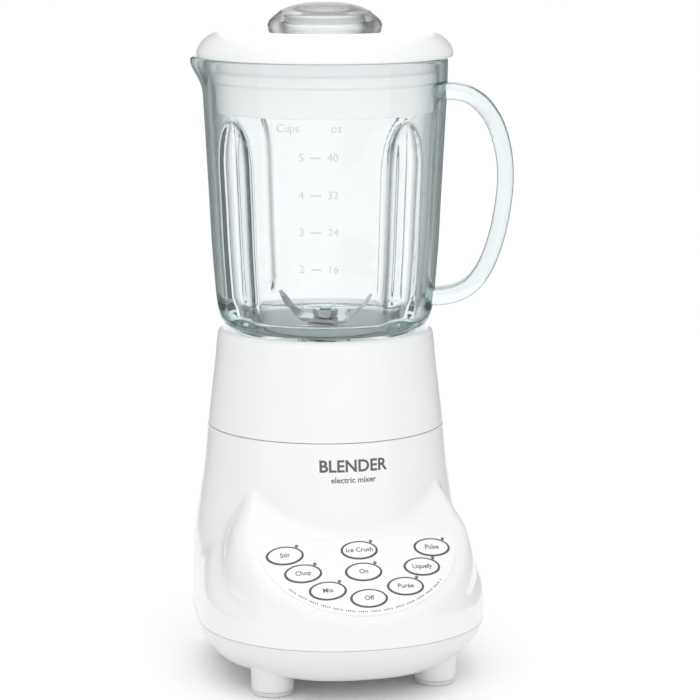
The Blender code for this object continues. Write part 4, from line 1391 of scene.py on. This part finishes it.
@dataclass
class Collar:
    """White locking ring and the grey blade unit that closes the jar from below."""

    bench: Bench

    def build(self) -> None:
        """Make the ring, the dish, the seals and the blades."""
        self.locking_ring()
        self.dish()
        self.gasket()
        self.blade("blade_low", "blade_lower", self.lower_path(), math.radians(72.0))
        self.blade("blade_high", "blade_upper", self.upper_path(), math.radians(-12.0))
        self.nut()
        self.shaft()

    def locking_ring(self) -> None:
        """Conical ring with a rolled lip, an inner sleeve and a ledge."""
        outer = [(68.2 - 0.4, 139.8), (68.2, 140.2)]
        curve = ((140.2, 68.2), (150.0, 67.1), (164.0, 65.3), (179.0, 63.5), (188.0, 62.7), (190.5, 62.2))
        outer += [(flowing(curve, z), z) for z in steps(142.0, 190.0, 16)]
        lip = [(58.0 + 4.2 * math.cos(t), 191.0 + 4.0 * math.sin(t)) for t in steps(0.0, math.pi / 2, 8)]
        inside = filleted([(51.5, 195.0, 1.6), (49.2, 192.5, 1.0), (49.2, 168.0, 0.4), (40.0, 168.0, 0.5),
                           (40.0, 162.4, 0.5), (52.0, 162.4, 1.0), (52.0, 190.5, 1.0), (57.6, 190.5, 1.0),
                           (61.2, 164.0, 0.0), (65.4, 139.8, 0.3)], 4)
        mesh = turned(outer + lip + inside, 192)
        self.bench.piece("ring_locking", mesh, Finish.WHITE, "collar", "locking_ring", turn=JAR_TURN)

    def dish(self) -> None:
        """Grey dish with its raised hub."""
        profile = filleted([(38.8, 168.3, 0.3), (48.8, 168.3, 0.5), (48.8, 173.2, 0.5), (42.4, 173.4, 0.6),
                            (38.0, 175.4, 2.0), (28.0, 179.2, 4.0), (14.0, 181.8, 2.0), (11.6, 183.0, 1.0),
                            (11.0, 191.0, 0.8), (6.6, 191.0, 0.2), (6.6, 178.5, 0.0), (4.6, 178.5, 0.0),
                            (4.6, 173.8, 0.0), (6.6, 173.8, 0.0), (6.6, 166.5, 0.2), (10.6, 166.5, 0.4),
                            (11.6, 177.0, 1.0), (26.0, 175.4, 2.0), (34.0, 172.6, 1.5)], 5)
        mesh = turned(profile)
        self.bench.piece("dish_blades", mesh, Finish.GREY, "collar", "blade_housing", turn=JAR_TURN)

    def gasket(self) -> None:
        """Flat rubber ring with rounded edges."""
        inner, outer, low, high, edge = 43.2, 48.0, 173.7, 175.7, 0.6
        profile = filleted([(inner, low, edge), (outer, low, edge),
                            (outer, high, edge), (inner, high, edge)], 5)
        self.bench.piece("ring_gasket", turned(profile), Finish.PAD, "collar", "jar_gasket", turn=JAR_TURN)

    def lower_path(self) -> tuple[tuple[float, float, float], ...]:
        """Return (reach, height, half width) along an arm that sweeps out and down."""
        return ((0.0, 193.3, 7.6), (9.0, 193.3, 7.4), (14.0, 193.4, 6.6), (20.0, 194.6, 5.6),
                (27.0, 196.0, 4.4), (32.0, 194.8, 3.2), (35.0, 193.0, 2.0), (37.0, 191.9, 0.5))

    def upper_path(self) -> tuple[tuple[float, float, float], ...]:
        """Return (reach, height, half width) along an arm that turns up."""
        return ((0.0, 195.2, 7.6), (8.0, 195.2, 7.4), (13.0, 195.4, 6.6), (17.0, 197.8, 6.0),
                (21.0, 203.8, 5.1), (25.0, 210.4, 3.4), (28.0, 214.6, 0.5))

    def blade(self, name: str, node: str, path: tuple[tuple[float, float, float], ...], turn: float) -> None:
        """Bent strip whose leading edges are ground to a cutting edge.

        Args:
            name: The piece's name.
            node: The CAD node that it stands for.
            path: (reach, height, half width) along one arm.
            turn: Turn about the shaft.
        """
        arm = spline(path, 8)
        arms = [Vector((-p.x, p.y, p.z)) for p in reversed(arm[1:])] + arm
        thick = 1.5
        rings = []
        for i, point in enumerate(arms):
            before, after = arms[max(i - 1, 0)], arms[min(i + 1, len(arms) - 1)]
            along = Vector((after.x - before.x, 0.0, after.y - before.y)).normalized()
            up = Vector((-along.z, 0.0, along.x))
            centre = Vector((point.x, 0.0, point.y))
            half = max(point.z, 0.3)
            ground = ease((abs(point.x) - 11.0) / 4.0) * (1.0 if point.x > 0 else -1.0)
            cut = min(2.6, half * 0.8)
            ring = []
            for across, height in ((-half, 0.0), (half, 0.0), (half, thick), (half - cut, thick),
                                   (cut - half, thick), (-half, thick)):
                sharpened = ground * across > 0.0 and abs(abs(across) - half) < 1e-6 and height > 0.0
                lift = height * (1.0 - 0.8 * abs(ground)) if sharpened else height
                ring.append(centre + up * lift + Vector((0.0, across, 0.0)))
            rings.append(ring)
        strip = self.bench.item(name, skin(rings), JAR_TURN + turn, 25.0)
        hole = self.bench.item("hole", prism([(p.x, p.y) for p in circle(3.8, 0.0, 40)], 188.0, 202.0))
        self.bench.boolean(strip, hole, 'DIFFERENCE', 25.0)
        self.bench.settle(strip, Finish.STEEL, "blades", node)

    def nut(self) -> None:
        """Hexagon nut with turned chamfers."""
        hexagon = [(7.3 * math.cos(math.tau * i / 6), 7.3 * math.sin(math.tau * i / 6)) for i in range(6)]
        body = self.bench.item("nut", prism(hexagon, 197.2, 202.4), JAR_TURN, 30.0)
        cone = [(0.0, 197.2), (6.7, 197.2), (7.4, 197.9), (7.4, 201.6), (6.5, 202.4), (0.0, 202.4)]
        self.bench.boolean(body, self.bench.item("cone", turned(cone, 64), JAR_TURN), 'INTERSECT', 30.0)
        bore = prism([(p.x, p.y) for p in circle(3.75, 0.0, 40)], 190.0, 210.0)
        self.bench.boolean(body, self.bench.item("bore", bore), 'DIFFERENCE', 30.0)
        self.bench.settle(body, Finish.STEEL, "blades", "blade_nut")

    def shaft(self) -> None:
        """Shaft with a shoulder under the blades and a thread for the nut."""
        profile = [(0.0, 162.4), (3.0, 162.4), (3.5, 163.0), (3.5, 191.2), (5.6, 191.2), (6.0, 191.6),
                   (6.0, 192.8), (5.8, 193.0), (3.5, 193.0), (3.5, 197.0)]
        pitch = 0.9
        turns = 8
        for i in range(turns):
            level = 197.2 + pitch * i
            profile += [(3.5, level), (3.1, level + pitch / 2.0)]
        profile += [(3.4, 204.4), (2.8, 205.0), (0.0, 205.0)]
        mesh = turned(profile, 48)
        self.bench.piece("shaft_blades", mesh, Finish.STEEL, "blades", "blade_shaft", turn=JAR_TURN)


# ---------------------------------------------------------------- jar, lid and cap

@dataclass
class Jar:
    """Glass jar with four arched flutes, a pouring lip, a strap handle and a raised scale."""

    bench: Bench
    segments: int = 240
    glass: float = 4.4
    floor: float = 196.5
    top: float = 350.0
    wall: tuple[tuple[float, float], ...] = ((196.5, 55.0), (197.6, 57.4), (199.5, 59.2), (203.0, 60.9),
                                             (210.0, 62.4), (228.0, 64.0), (245.0, 65.2), (268.0, 66.3),
                                             (291.0, 67.5), (305.0, 68.2), (318.0, 68.9), (332.0, 69.6),
                                             (350.0, 70.0))
    flute_depth: float = 5.0
    arch_start: float = 288.0
    arch_end: float = 317.0
    flute_half: float = math.radians(12.5)
    spout_reach: float = 6.95
    spout_half: float = math.radians(21.0)
    spout_from: float = 328.0
    step: float = 20.7
    handle: tuple[tuple[float, float], ...] = ((60.4, 213.4), (67.0, 213.5), (76.0, 215.6), (84.8, 221.2),
                                               (92.4, 232.4), (98.4, 249.5), (102.0, 269.0), (102.9, 285.0),
                                               (101.2, 299.5), (96.8, 313.0), (90.0, 323.0), (82.0, 328.8),
                                               (74.0, 330.8), (66.6, 331.0))

    def build(self) -> None:
        """Make the jar and its scale."""
        body = self.bench.item("jar_body", self.bowl(), JAR_TURN, 40.0)
        self.bench.boolean(body, self.bench.item("strap", self.strap(), JAR_TURN), 'UNION', 40.0)
        self.bench.settle(body, Finish.GLASS, "jar", "glass_jar")
        self.scale()

    def flute(self, angle: float, z: float) -> float:
        """Find how far an arch sinks the wall.

        Args:
            angle: Angle from the handle.
            z: Height.

        Returns:
            The depth of the flute there.
        """
        low, high = self.floor + 1.0, self.arch_end
        if not low < z < high:
            return 0.0
        arch = math.sqrt(max(1.0 - (max(z - self.arch_start, 0.0) / (high - self.arch_start)) ** 2, 0.0))
        half = self.flute_half * arch
        corners = (math.radians(c) for c in (45.0, 135.0, 225.0, 315.0))
        away = min(abs((angle - corner + math.pi) % math.tau - math.pi) for corner in corners)
        if half <= 0.0 or away >= half:
            return 0.0
        across = 1.0 - away / half
        foot = ease((z - low) / 16.0)
        return self.flute_depth * foot * ease(across / 0.8) * min(1.0, arch * 1.3)

    def spout(self, angle: float, z: float) -> float:
        """Find how far the pouring lip stands out, opposite the handle.

        Args:
            angle: Angle from the handle.
            z: Height.

        Returns:
            The lip's reach there.
        """
        away = abs(angle % math.tau - math.pi)
        if away >= self.spout_half or z <= self.spout_from:
            return 0.0
        rise = ease((z - self.spout_from) / 20.0) ** 1.3
        return self.spout_reach * rise * math.cos(math.pi / 2 * away / self.spout_half) ** 2

    def ring(self, z: float, inset: float, lift: float = 0.0) -> list[Vector]:
        """Lay a level ring of points on the wall.

        Args:
            z: The height at which the wall's outline is read.
            inset: How far inside the outer face the ring lies.
            lift: How far above z the ring is drawn.

        Returns:
            The ring's points, starting at the handle.
        """
        points = []
        for i in range(self.segments):
            angle = math.tau * i / self.segments
            radius = flowing(self.wall, z) - inset - self.flute(angle, z) + self.spout(angle, z)
            points.append(Vector((radius * math.cos(angle), radius * math.sin(angle), z + lift)))
        return points

    def bowl(self) -> Mesh:
        """Shape the jar's wall, floor and neck.

        Returns:
            The closed mesh.
        """
        neck = [(43.4, 176.0), (47.6, 176.0), (48.0, 176.5), (48.0, 195.6), (48.6, 196.5), (52.0, 196.5)]
        rings = [circle(r, z, self.segments) for r, z in neck]
        heights = [196.5, 196.9, 197.6, 198.5, 199.5, 201.0, 203.0, 206.0] + steps(209.0, 318.0, 78)
        heights += steps(320.0, 346.0, 18) + [347.4]
        rings += [self.ring(z, 0.0) for z in heights]
        for turn in steps(0.0, math.pi, 10)[1:-1]:
            rings.append(self.ring(347.8, self.glass / 2.0 * (1.0 - math.cos(turn)), 2.2 * math.sin(turn)))
        for z in reversed(heights[12:]):
            rings.append(self.ring(z, self.glass))
        inside = filleted([(57.4, 211.0, 0.0), (55.0, 203.6, 4.0), (44.6, 199.8, 2.0), (43.0, 197.0, 1.5),
                           (43.0, 176.4, 0.0)], 6)
        rings += [circle(r, z, self.segments) for r, z in inside[1:]]
        return skin(rings, closed=True)

    def strap(self) -> Mesh:
        """Shape the strap handle, ribbed on its upper outer edge.

        Returns:
            The closed mesh.
        """
        path = [Vector((p.x, 0.0, p.y)) for p in spline([(r, z) for r, z in self.handle], 9)]
        outline = rounded_box(4.75, 11.0, 4.6)

        def section(share: float) -> Outline:
            """Draw the strap's outline, with small ribs along part of its way.

            Args:
                share: How far along the strap, from 0 to 1.

            Returns:
                (outward, sideways) points.
            """
            ribbed = ease((share - 0.60) / 0.02) * ease((0.80 - share) / 0.02)
            rib = 0.45 * ribbed * max(math.sin(share * math.tau * 44.0), 0.0)
            return [(-a - (rib if a > 2.0 else 0.0), b) for a, b in outline]

        return swept(section, path, Vector((0.0, 1.0, 0.0)))

    def on_wall(self, mesh: Mesh, across: float, level: float) -> Mesh:
        """Wrap a flat mesh on the jar's front, a quarter turn from the handle.

        Args:
            mesh: The mesh, drawn round its own middle.
            across: How far to the right it goes.
            level: The height of its middle.

        Returns:
            The mesh in its place.
        """
        for vertex in mesh.verts:
            z = level + vertex.co.y
            radius = flowing(self.wall, z) + vertex.co.z - 0.05
            angle = -math.pi / 2 + (vertex.co.x + across) / radius
            vertex.co = Vector((radius * math.cos(angle), radius * math.sin(angle), z))
        return mesh

    def scale(self) -> None:
        """Raised numbers and strokes of the measuring scale."""
        parts = [self.on_wall(lettering("Cups", 6.4, 0.45), -16.0, 315.0),
                 self.on_wall(lettering("oz", 6.4, 0.45), 11.0, 315.0)]
        stroke = [(2.9, -0.4), (2.9, 0.4), (-2.9, 0.4), (-2.9, -0.4)]
        for row in range(1, 6):
            level = self.floor - 1.0 + self.step * row
            parts.append(self.on_wall(lettering(str(row), 6.2, 0.5), -8.5, level))
            parts.append(self.on_wall(lettering(str(8 * row), 6.2, 0.5), 9.0, level))
            parts.append(self.on_wall(slab(stroke, 0.0, 0.5, 0.15), -0.5, level))
        self.bench.piece("jar_scale", merged(parts), Finish.SCALE, "jar", turn=JAR_TURN)


@dataclass
class LidAndCap:
    """White lid with a rolled rim and the clear measuring cap in its middle."""

    bench: Bench

    def build(self) -> None:
        """Make the lid and the cap."""
        self.lid()
        self.cap()

    def lid(self) -> None:
        """Rolled rim, dished top, sleeve and plug in one moulding."""
        rim = spline(((72.6, 350.6), (72.9, 352.4), (72.2, 355.2), (69.6, 359.2), (65.4, 362.8), (60.6, 365.2),
                      (56.4, 365.9), (52.4, 365.2), (49.0, 363.6), (45.6, 362.3), (41.0, 361.9)), 5)
        inside = filleted([(34.0, 361.9, 0.0), (27.8, 361.9, 0.5), (27.8, 352.0, 0.4), (30.6, 352.0, 0.4),
                           (30.6, 358.6, 1.0), (45.0, 359.0, 2.0), (54.0, 361.0, 2.0), (58.8, 359.0, 1.5),
                           (59.2, 319.5, 0.6), (61.6, 319.5, 0.8), (62.0, 335.5, 0.5), (63.5, 337.0, 0.6),
                           (63.5, 342.0, 0.6), (62.2, 343.4, 0.5), (62.4, 350.4, 0.6), (72.2, 350.4, 0.3)], 5)
        profile = [(p.x, p.y) for p in rim] + inside
        # The lid takes the lighter white, which is painted light.
        self.bench.piece("lid_white", turned(profile, 192), Finish.LID, "lid_body", "lid", turn=JAR_TURN)

    def cap(self) -> None:
        """Clear cup with a domed top and a rolled shoulder."""
        outer = spline(((0.0, 381.0), (9.0, 380.6), (17.0, 379.3), (23.6, 377.0), (27.0, 374.6), (29.4, 372.6),
                        (31.8, 370.0), (32.6, 367.2), (32.0, 364.2), (30.6, 362.5)), 5)
        inside = filleted([(29.6, 362.3, 0.4), (26.8, 362.3, 0.5), (26.3, 340.0, 0.5), (24.4, 340.0, 0.5),
                           (24.8, 365.0, 2.0), (23.0, 371.2, 4.0), (14.0, 376.2, 4.0), (0.0, 378.4, 0.0)], 6)
        profile = [(max(p.x, 0.0), p.y) for p in outer] + inside
        profile[0] = (0.0, 381.0)
        mesh = turned(profile, 144)
        self.bench.piece("cap_clear", mesh, Finish.CLEAR, "cap_body", "measuring_cap", turn=JAR_TURN)


# ---------------------------------------------------------------- carried-over nodes

class Inner(Enum):
    """Finishes of the CAD nodes that are carried over as they are."""

    BLACK = (Finish.BLACK, ("motor_top_bracket", "motor_bottom_bracket", "brush_holder_left",
                            "brush_holder_right", "cooling_fan", "drive_coupling", "jar_coupling"))
    LAMINATION = (Finish.LAMINATION, ("stator_core", "armature_core"))
    COPPER = (Finish.COPPER, ("field_coil_left", "field_coil_right"))
    SEGMENTS = (Finish.SEGMENTS, ("commutator",))
    STEEL = (Finish.STEEL, ("motor_shaft",))
    SCREW = (Finish.SCREW, ("motor_screw_left", "motor_screw_right", "housing_screw_front_left",
                            "housing_screw_front_right", "housing_screw_rear_left", "housing_screw_rear_right"))
    BRONZE = (Finish.BRONZE, ("bearing_upper", "bearing_lower", "shaft_bush_upper", "shaft_bush_lower"))
    CARBON = (Finish.CARBON, ("carbon_brush_left", "carbon_brush_right"))
    RUBBER = (Finish.RUBBER, ("splash_seal", "shaft_seal", "keypad_membrane"))
    BOARD = (Finish.BOARD, ("circuit_board",))

    def dress(self, nodes: dict[str, Item]) -> None:
        """Give the nodes their material.

        Args:
            nodes: Every CAD node by its name.
        """
        finish, names = self.value
        for name in names:
            slots = nodes[name].material_slots
            if not slots:
                nodes[name].data.materials.append(finish.material)
            for entry in nodes[name].material_slots:
                entry.material = finish.material
            LOG.info("%s keeps its shape in %s", name, finish.name)


# ---------------------------------------------------------------- studio

@dataclass
class Studio:
    """Pale floor, soft lights, and the camera in front of the base's left corner."""

    axis: Vector
    lens: float = 138.9
    distance: float = 1538.0
    height: float = 452.0
    azimuth: float = math.radians(-13.0)
    heading: float = math.radians(13.53)
    tilt: float = math.radians(10.0)
    softboxes: tuple[tuple[str, tuple[float, float, float], float, float], ...] = (
        ("top", (-0.2, -0.5, 1.6), 1.2, 2.2), ("left", (-1.4, -0.8, 0.8), 0.8, 1.2),
        ("right", (1.4, -0.5, 0.7), 0.5, 0.5))
    flag_aside: float = 0.32
    flag_span: tuple[float, float] = (-0.2, 1.8)
    flag_height: float = 0.7

    def build(self) -> None:
        """Make floor, world, lights and camera."""
        self.floor()
        self.world()
        for name, place, size, power in self.softboxes:
            self.softbox(name, Vector(place), size, power)
        for side in (-1.0, 1.0):
            self.flag(side)
        self.camera()
        bpy.context.scene.view_settings.view_transform = 'Standard'

    def floor(self) -> None:
        """Wide plane with a faintly mottled matt surface."""
        mesh = bmesh.new()
        bmesh.ops.create_grid(mesh, x_segments=2, y_segments=2, size=60.0)
        data = bpy.data.meshes.new("floor")
        mesh.to_mesh(data)
        mesh.free()
        plane = bpy.data.objects.new("floor", data)
        bpy.context.scene.collection.objects.link(plane)
        pale = MouldedPlastic("pale_floor", (0.93, 0.93, 0.93), 0.7, 0.02, 200.0, 0.004)
        data.materials.append(pale.make())

    def flag(self, side: float) -> None:
        """Stand a dark screen beside the object, seen only in gloss, to draw its edges.

        Args:
            side: -1 for the left, 1 for the right.
        """
        ahead = Vector((math.sin(self.heading), math.cos(self.heading), 0.0))
        across = Vector((ahead.y, -ahead.x, 0.0)) * side
        middle = self.axis + across * self.flag_aside
        near, far = self.flag_span
        outline = ((near, 0.0), (far, 0.0), (far, self.flag_height), (near, self.flag_height))
        corners = [middle + ahead * along + Vector((0.0, 0.0, z)) for along, z in outline]
        data = bpy.data.meshes.new("flag")
        data.from_pydata(corners, [], [(0, 1, 2, 3)])
        screen = bpy.data.objects.new("flag_%s" % ("left" if side < 0.0 else "right"), data)
        bpy.context.scene.collection.objects.link(screen)
        data.materials.append(Rubber("dark_cloth", (0.2, 0.21, 0.21), 0.9).make())
        screen.visible_camera = screen.visible_diffuse = screen.visible_shadow = False
        screen.visible_transmission = False

    def world(self) -> None:
        """White surround whose sides fall off to grey, most of all for what is bent through glass."""
        world = bpy.data.worlds.new("studio")
        bpy.context.scene.world = world
        world.use_nodes = True
        tree = world.node_tree
        even = tree.nodes["Background"]
        place = tree.nodes.new("ShaderNodeTexCoord")
        split = tree.nodes.new("ShaderNodeSeparateXYZ")
        size = tree.nodes.new("ShaderNodeMath")
        size.operation = 'ABSOLUTE'
        tree.links.new(place.outputs["Generated"], split.inputs["Vector"])
        tree.links.new(split.outputs["X"], size.inputs[0])
        path = tree.nodes.new("ShaderNodeLightPath")
        self.side_fall(tree, size, even, 0.35, 0.95, 1.28, 0.56)
        shown = even
        for ray, inner, outer, middle, side in (("Is Glossy Ray", 0.30, 0.85, 1.1, 0.40),
                                                ("Is Transmission Ray", 0.25, 0.80, 1.15, 0.30)):
            surround = tree.nodes.new("ShaderNodeBackground")
            self.side_fall(tree, size, surround, inner, outer, middle, side)
            blend = tree.nodes.new("ShaderNodeMixShader")
            tree.links.new(path.outputs[ray], blend.inputs[0])
            tree.links.new(shown.outputs[0], blend.inputs[1])
            tree.links.new(surround.outputs[0], blend.inputs[2])
            shown = blend
        tree.links.new(shown.outputs[0], tree.nodes["World Output"].inputs["Surface"])

    def side_fall(self, tree: bpy.types.NodeTree, size: bpy.types.Node, surround: bpy.types.Node,
                  inner: float, outer: float, middle: float, side: float) -> None:
        """Make a surround that falls off from the middle to the sides.

        Args:
            tree: The world's node tree.
            size: Node that gives how far a direction points to a side, from 0 to 1.
            surround: Background node that takes the result.
            inner: Where the fall starts.
            outer: Where it ends.
            middle: Brightness ahead, behind and above.
            side: Brightness at the sides.
        """
        fall = tree.nodes.new("ShaderNodeMapRange")
        fall.interpolation_type = 'SMOOTHSTEP'
        for key, value in (("From Min", inner), ("From Max", outer), ("To Min", middle), ("To Max", side)):
            fall.inputs[key].default_value = value
        tree.links.new(size.outputs["Value"], fall.inputs["Value"])
        tree.links.new(fall.outputs["Result"], surround.inputs["Color"])

    def softbox(self, name: str, place: Vector, size: float, power: float) -> None:
        """Hang a square light that faces the middle of the object.

        Args:
            name: Which light it is.
            place: Where it hangs.
            size: Length of its sides.
            power: Its power in watts.
        """
        lamp = bpy.data.lights.new("softbox_" + name, 'AREA')
        lamp.size = size
        lamp.energy = power
        holder = bpy.data.objects.new("softbox_" + name, lamp)
        holder.location = place
        holder.rotation_euler = (Vector((0.0, 0.0, 0.2)) - place).to_track_quat('-Z', 'Y').to_euler()
        bpy.context.scene.collection.objects.link(holder)

    def camera(self) -> None:
        """Long lens, a little above the jar's middle and to the left of the front."""
        data = bpy.data.cameras.new("camera")
        data.lens = self.lens
        data.sensor_width = 36.0
        eye = bpy.data.objects.new("camera", data)
        away = Vector((math.sin(self.azimuth), -math.cos(self.azimuth), 0.0)) * self.distance
        eye.location = self.axis + (away + Vector((0.0, 0.0, self.height))) * MM
        level = math.cos(self.tilt)
        look = Vector((math.sin(self.heading) * level, math.cos(self.heading) * level, -math.sin(self.tilt)))
        eye.rotation_euler = look.to_track_quat('-Z', 'Y').to_euler()
        bpy.context.scene.collection.objects.link(eye)
        bpy.context.scene.camera = eye


def main() -> None:
    """Build the blender's looks in order."""
    logging.basicConfig(level=logging.INFO, format="%(message)s")
    for spare in list(bpy.data.objects):
        bpy.data.objects.remove(spare, do_unlink=True)
    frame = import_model()
    low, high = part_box("motor_shaft")
    axis = Vector(((low.x + high.x) / 2.0, (low.y + high.y) / 2.0, 0.0))
    Studio(axis).build()
    bench = Bench(axis)
    form = BaseForm()
    for assembly in (MotorBase(bench, form), ControlPanel(bench, form), Collar(bench), Jar(bench),
                     LidAndCap(bench)):
        assembly.build()
    for group in Inner:
        group.dress(frame["nodes"])
    LOG.info("%d pieces made", bench.count)


if __name__ == "__main__":
    main()
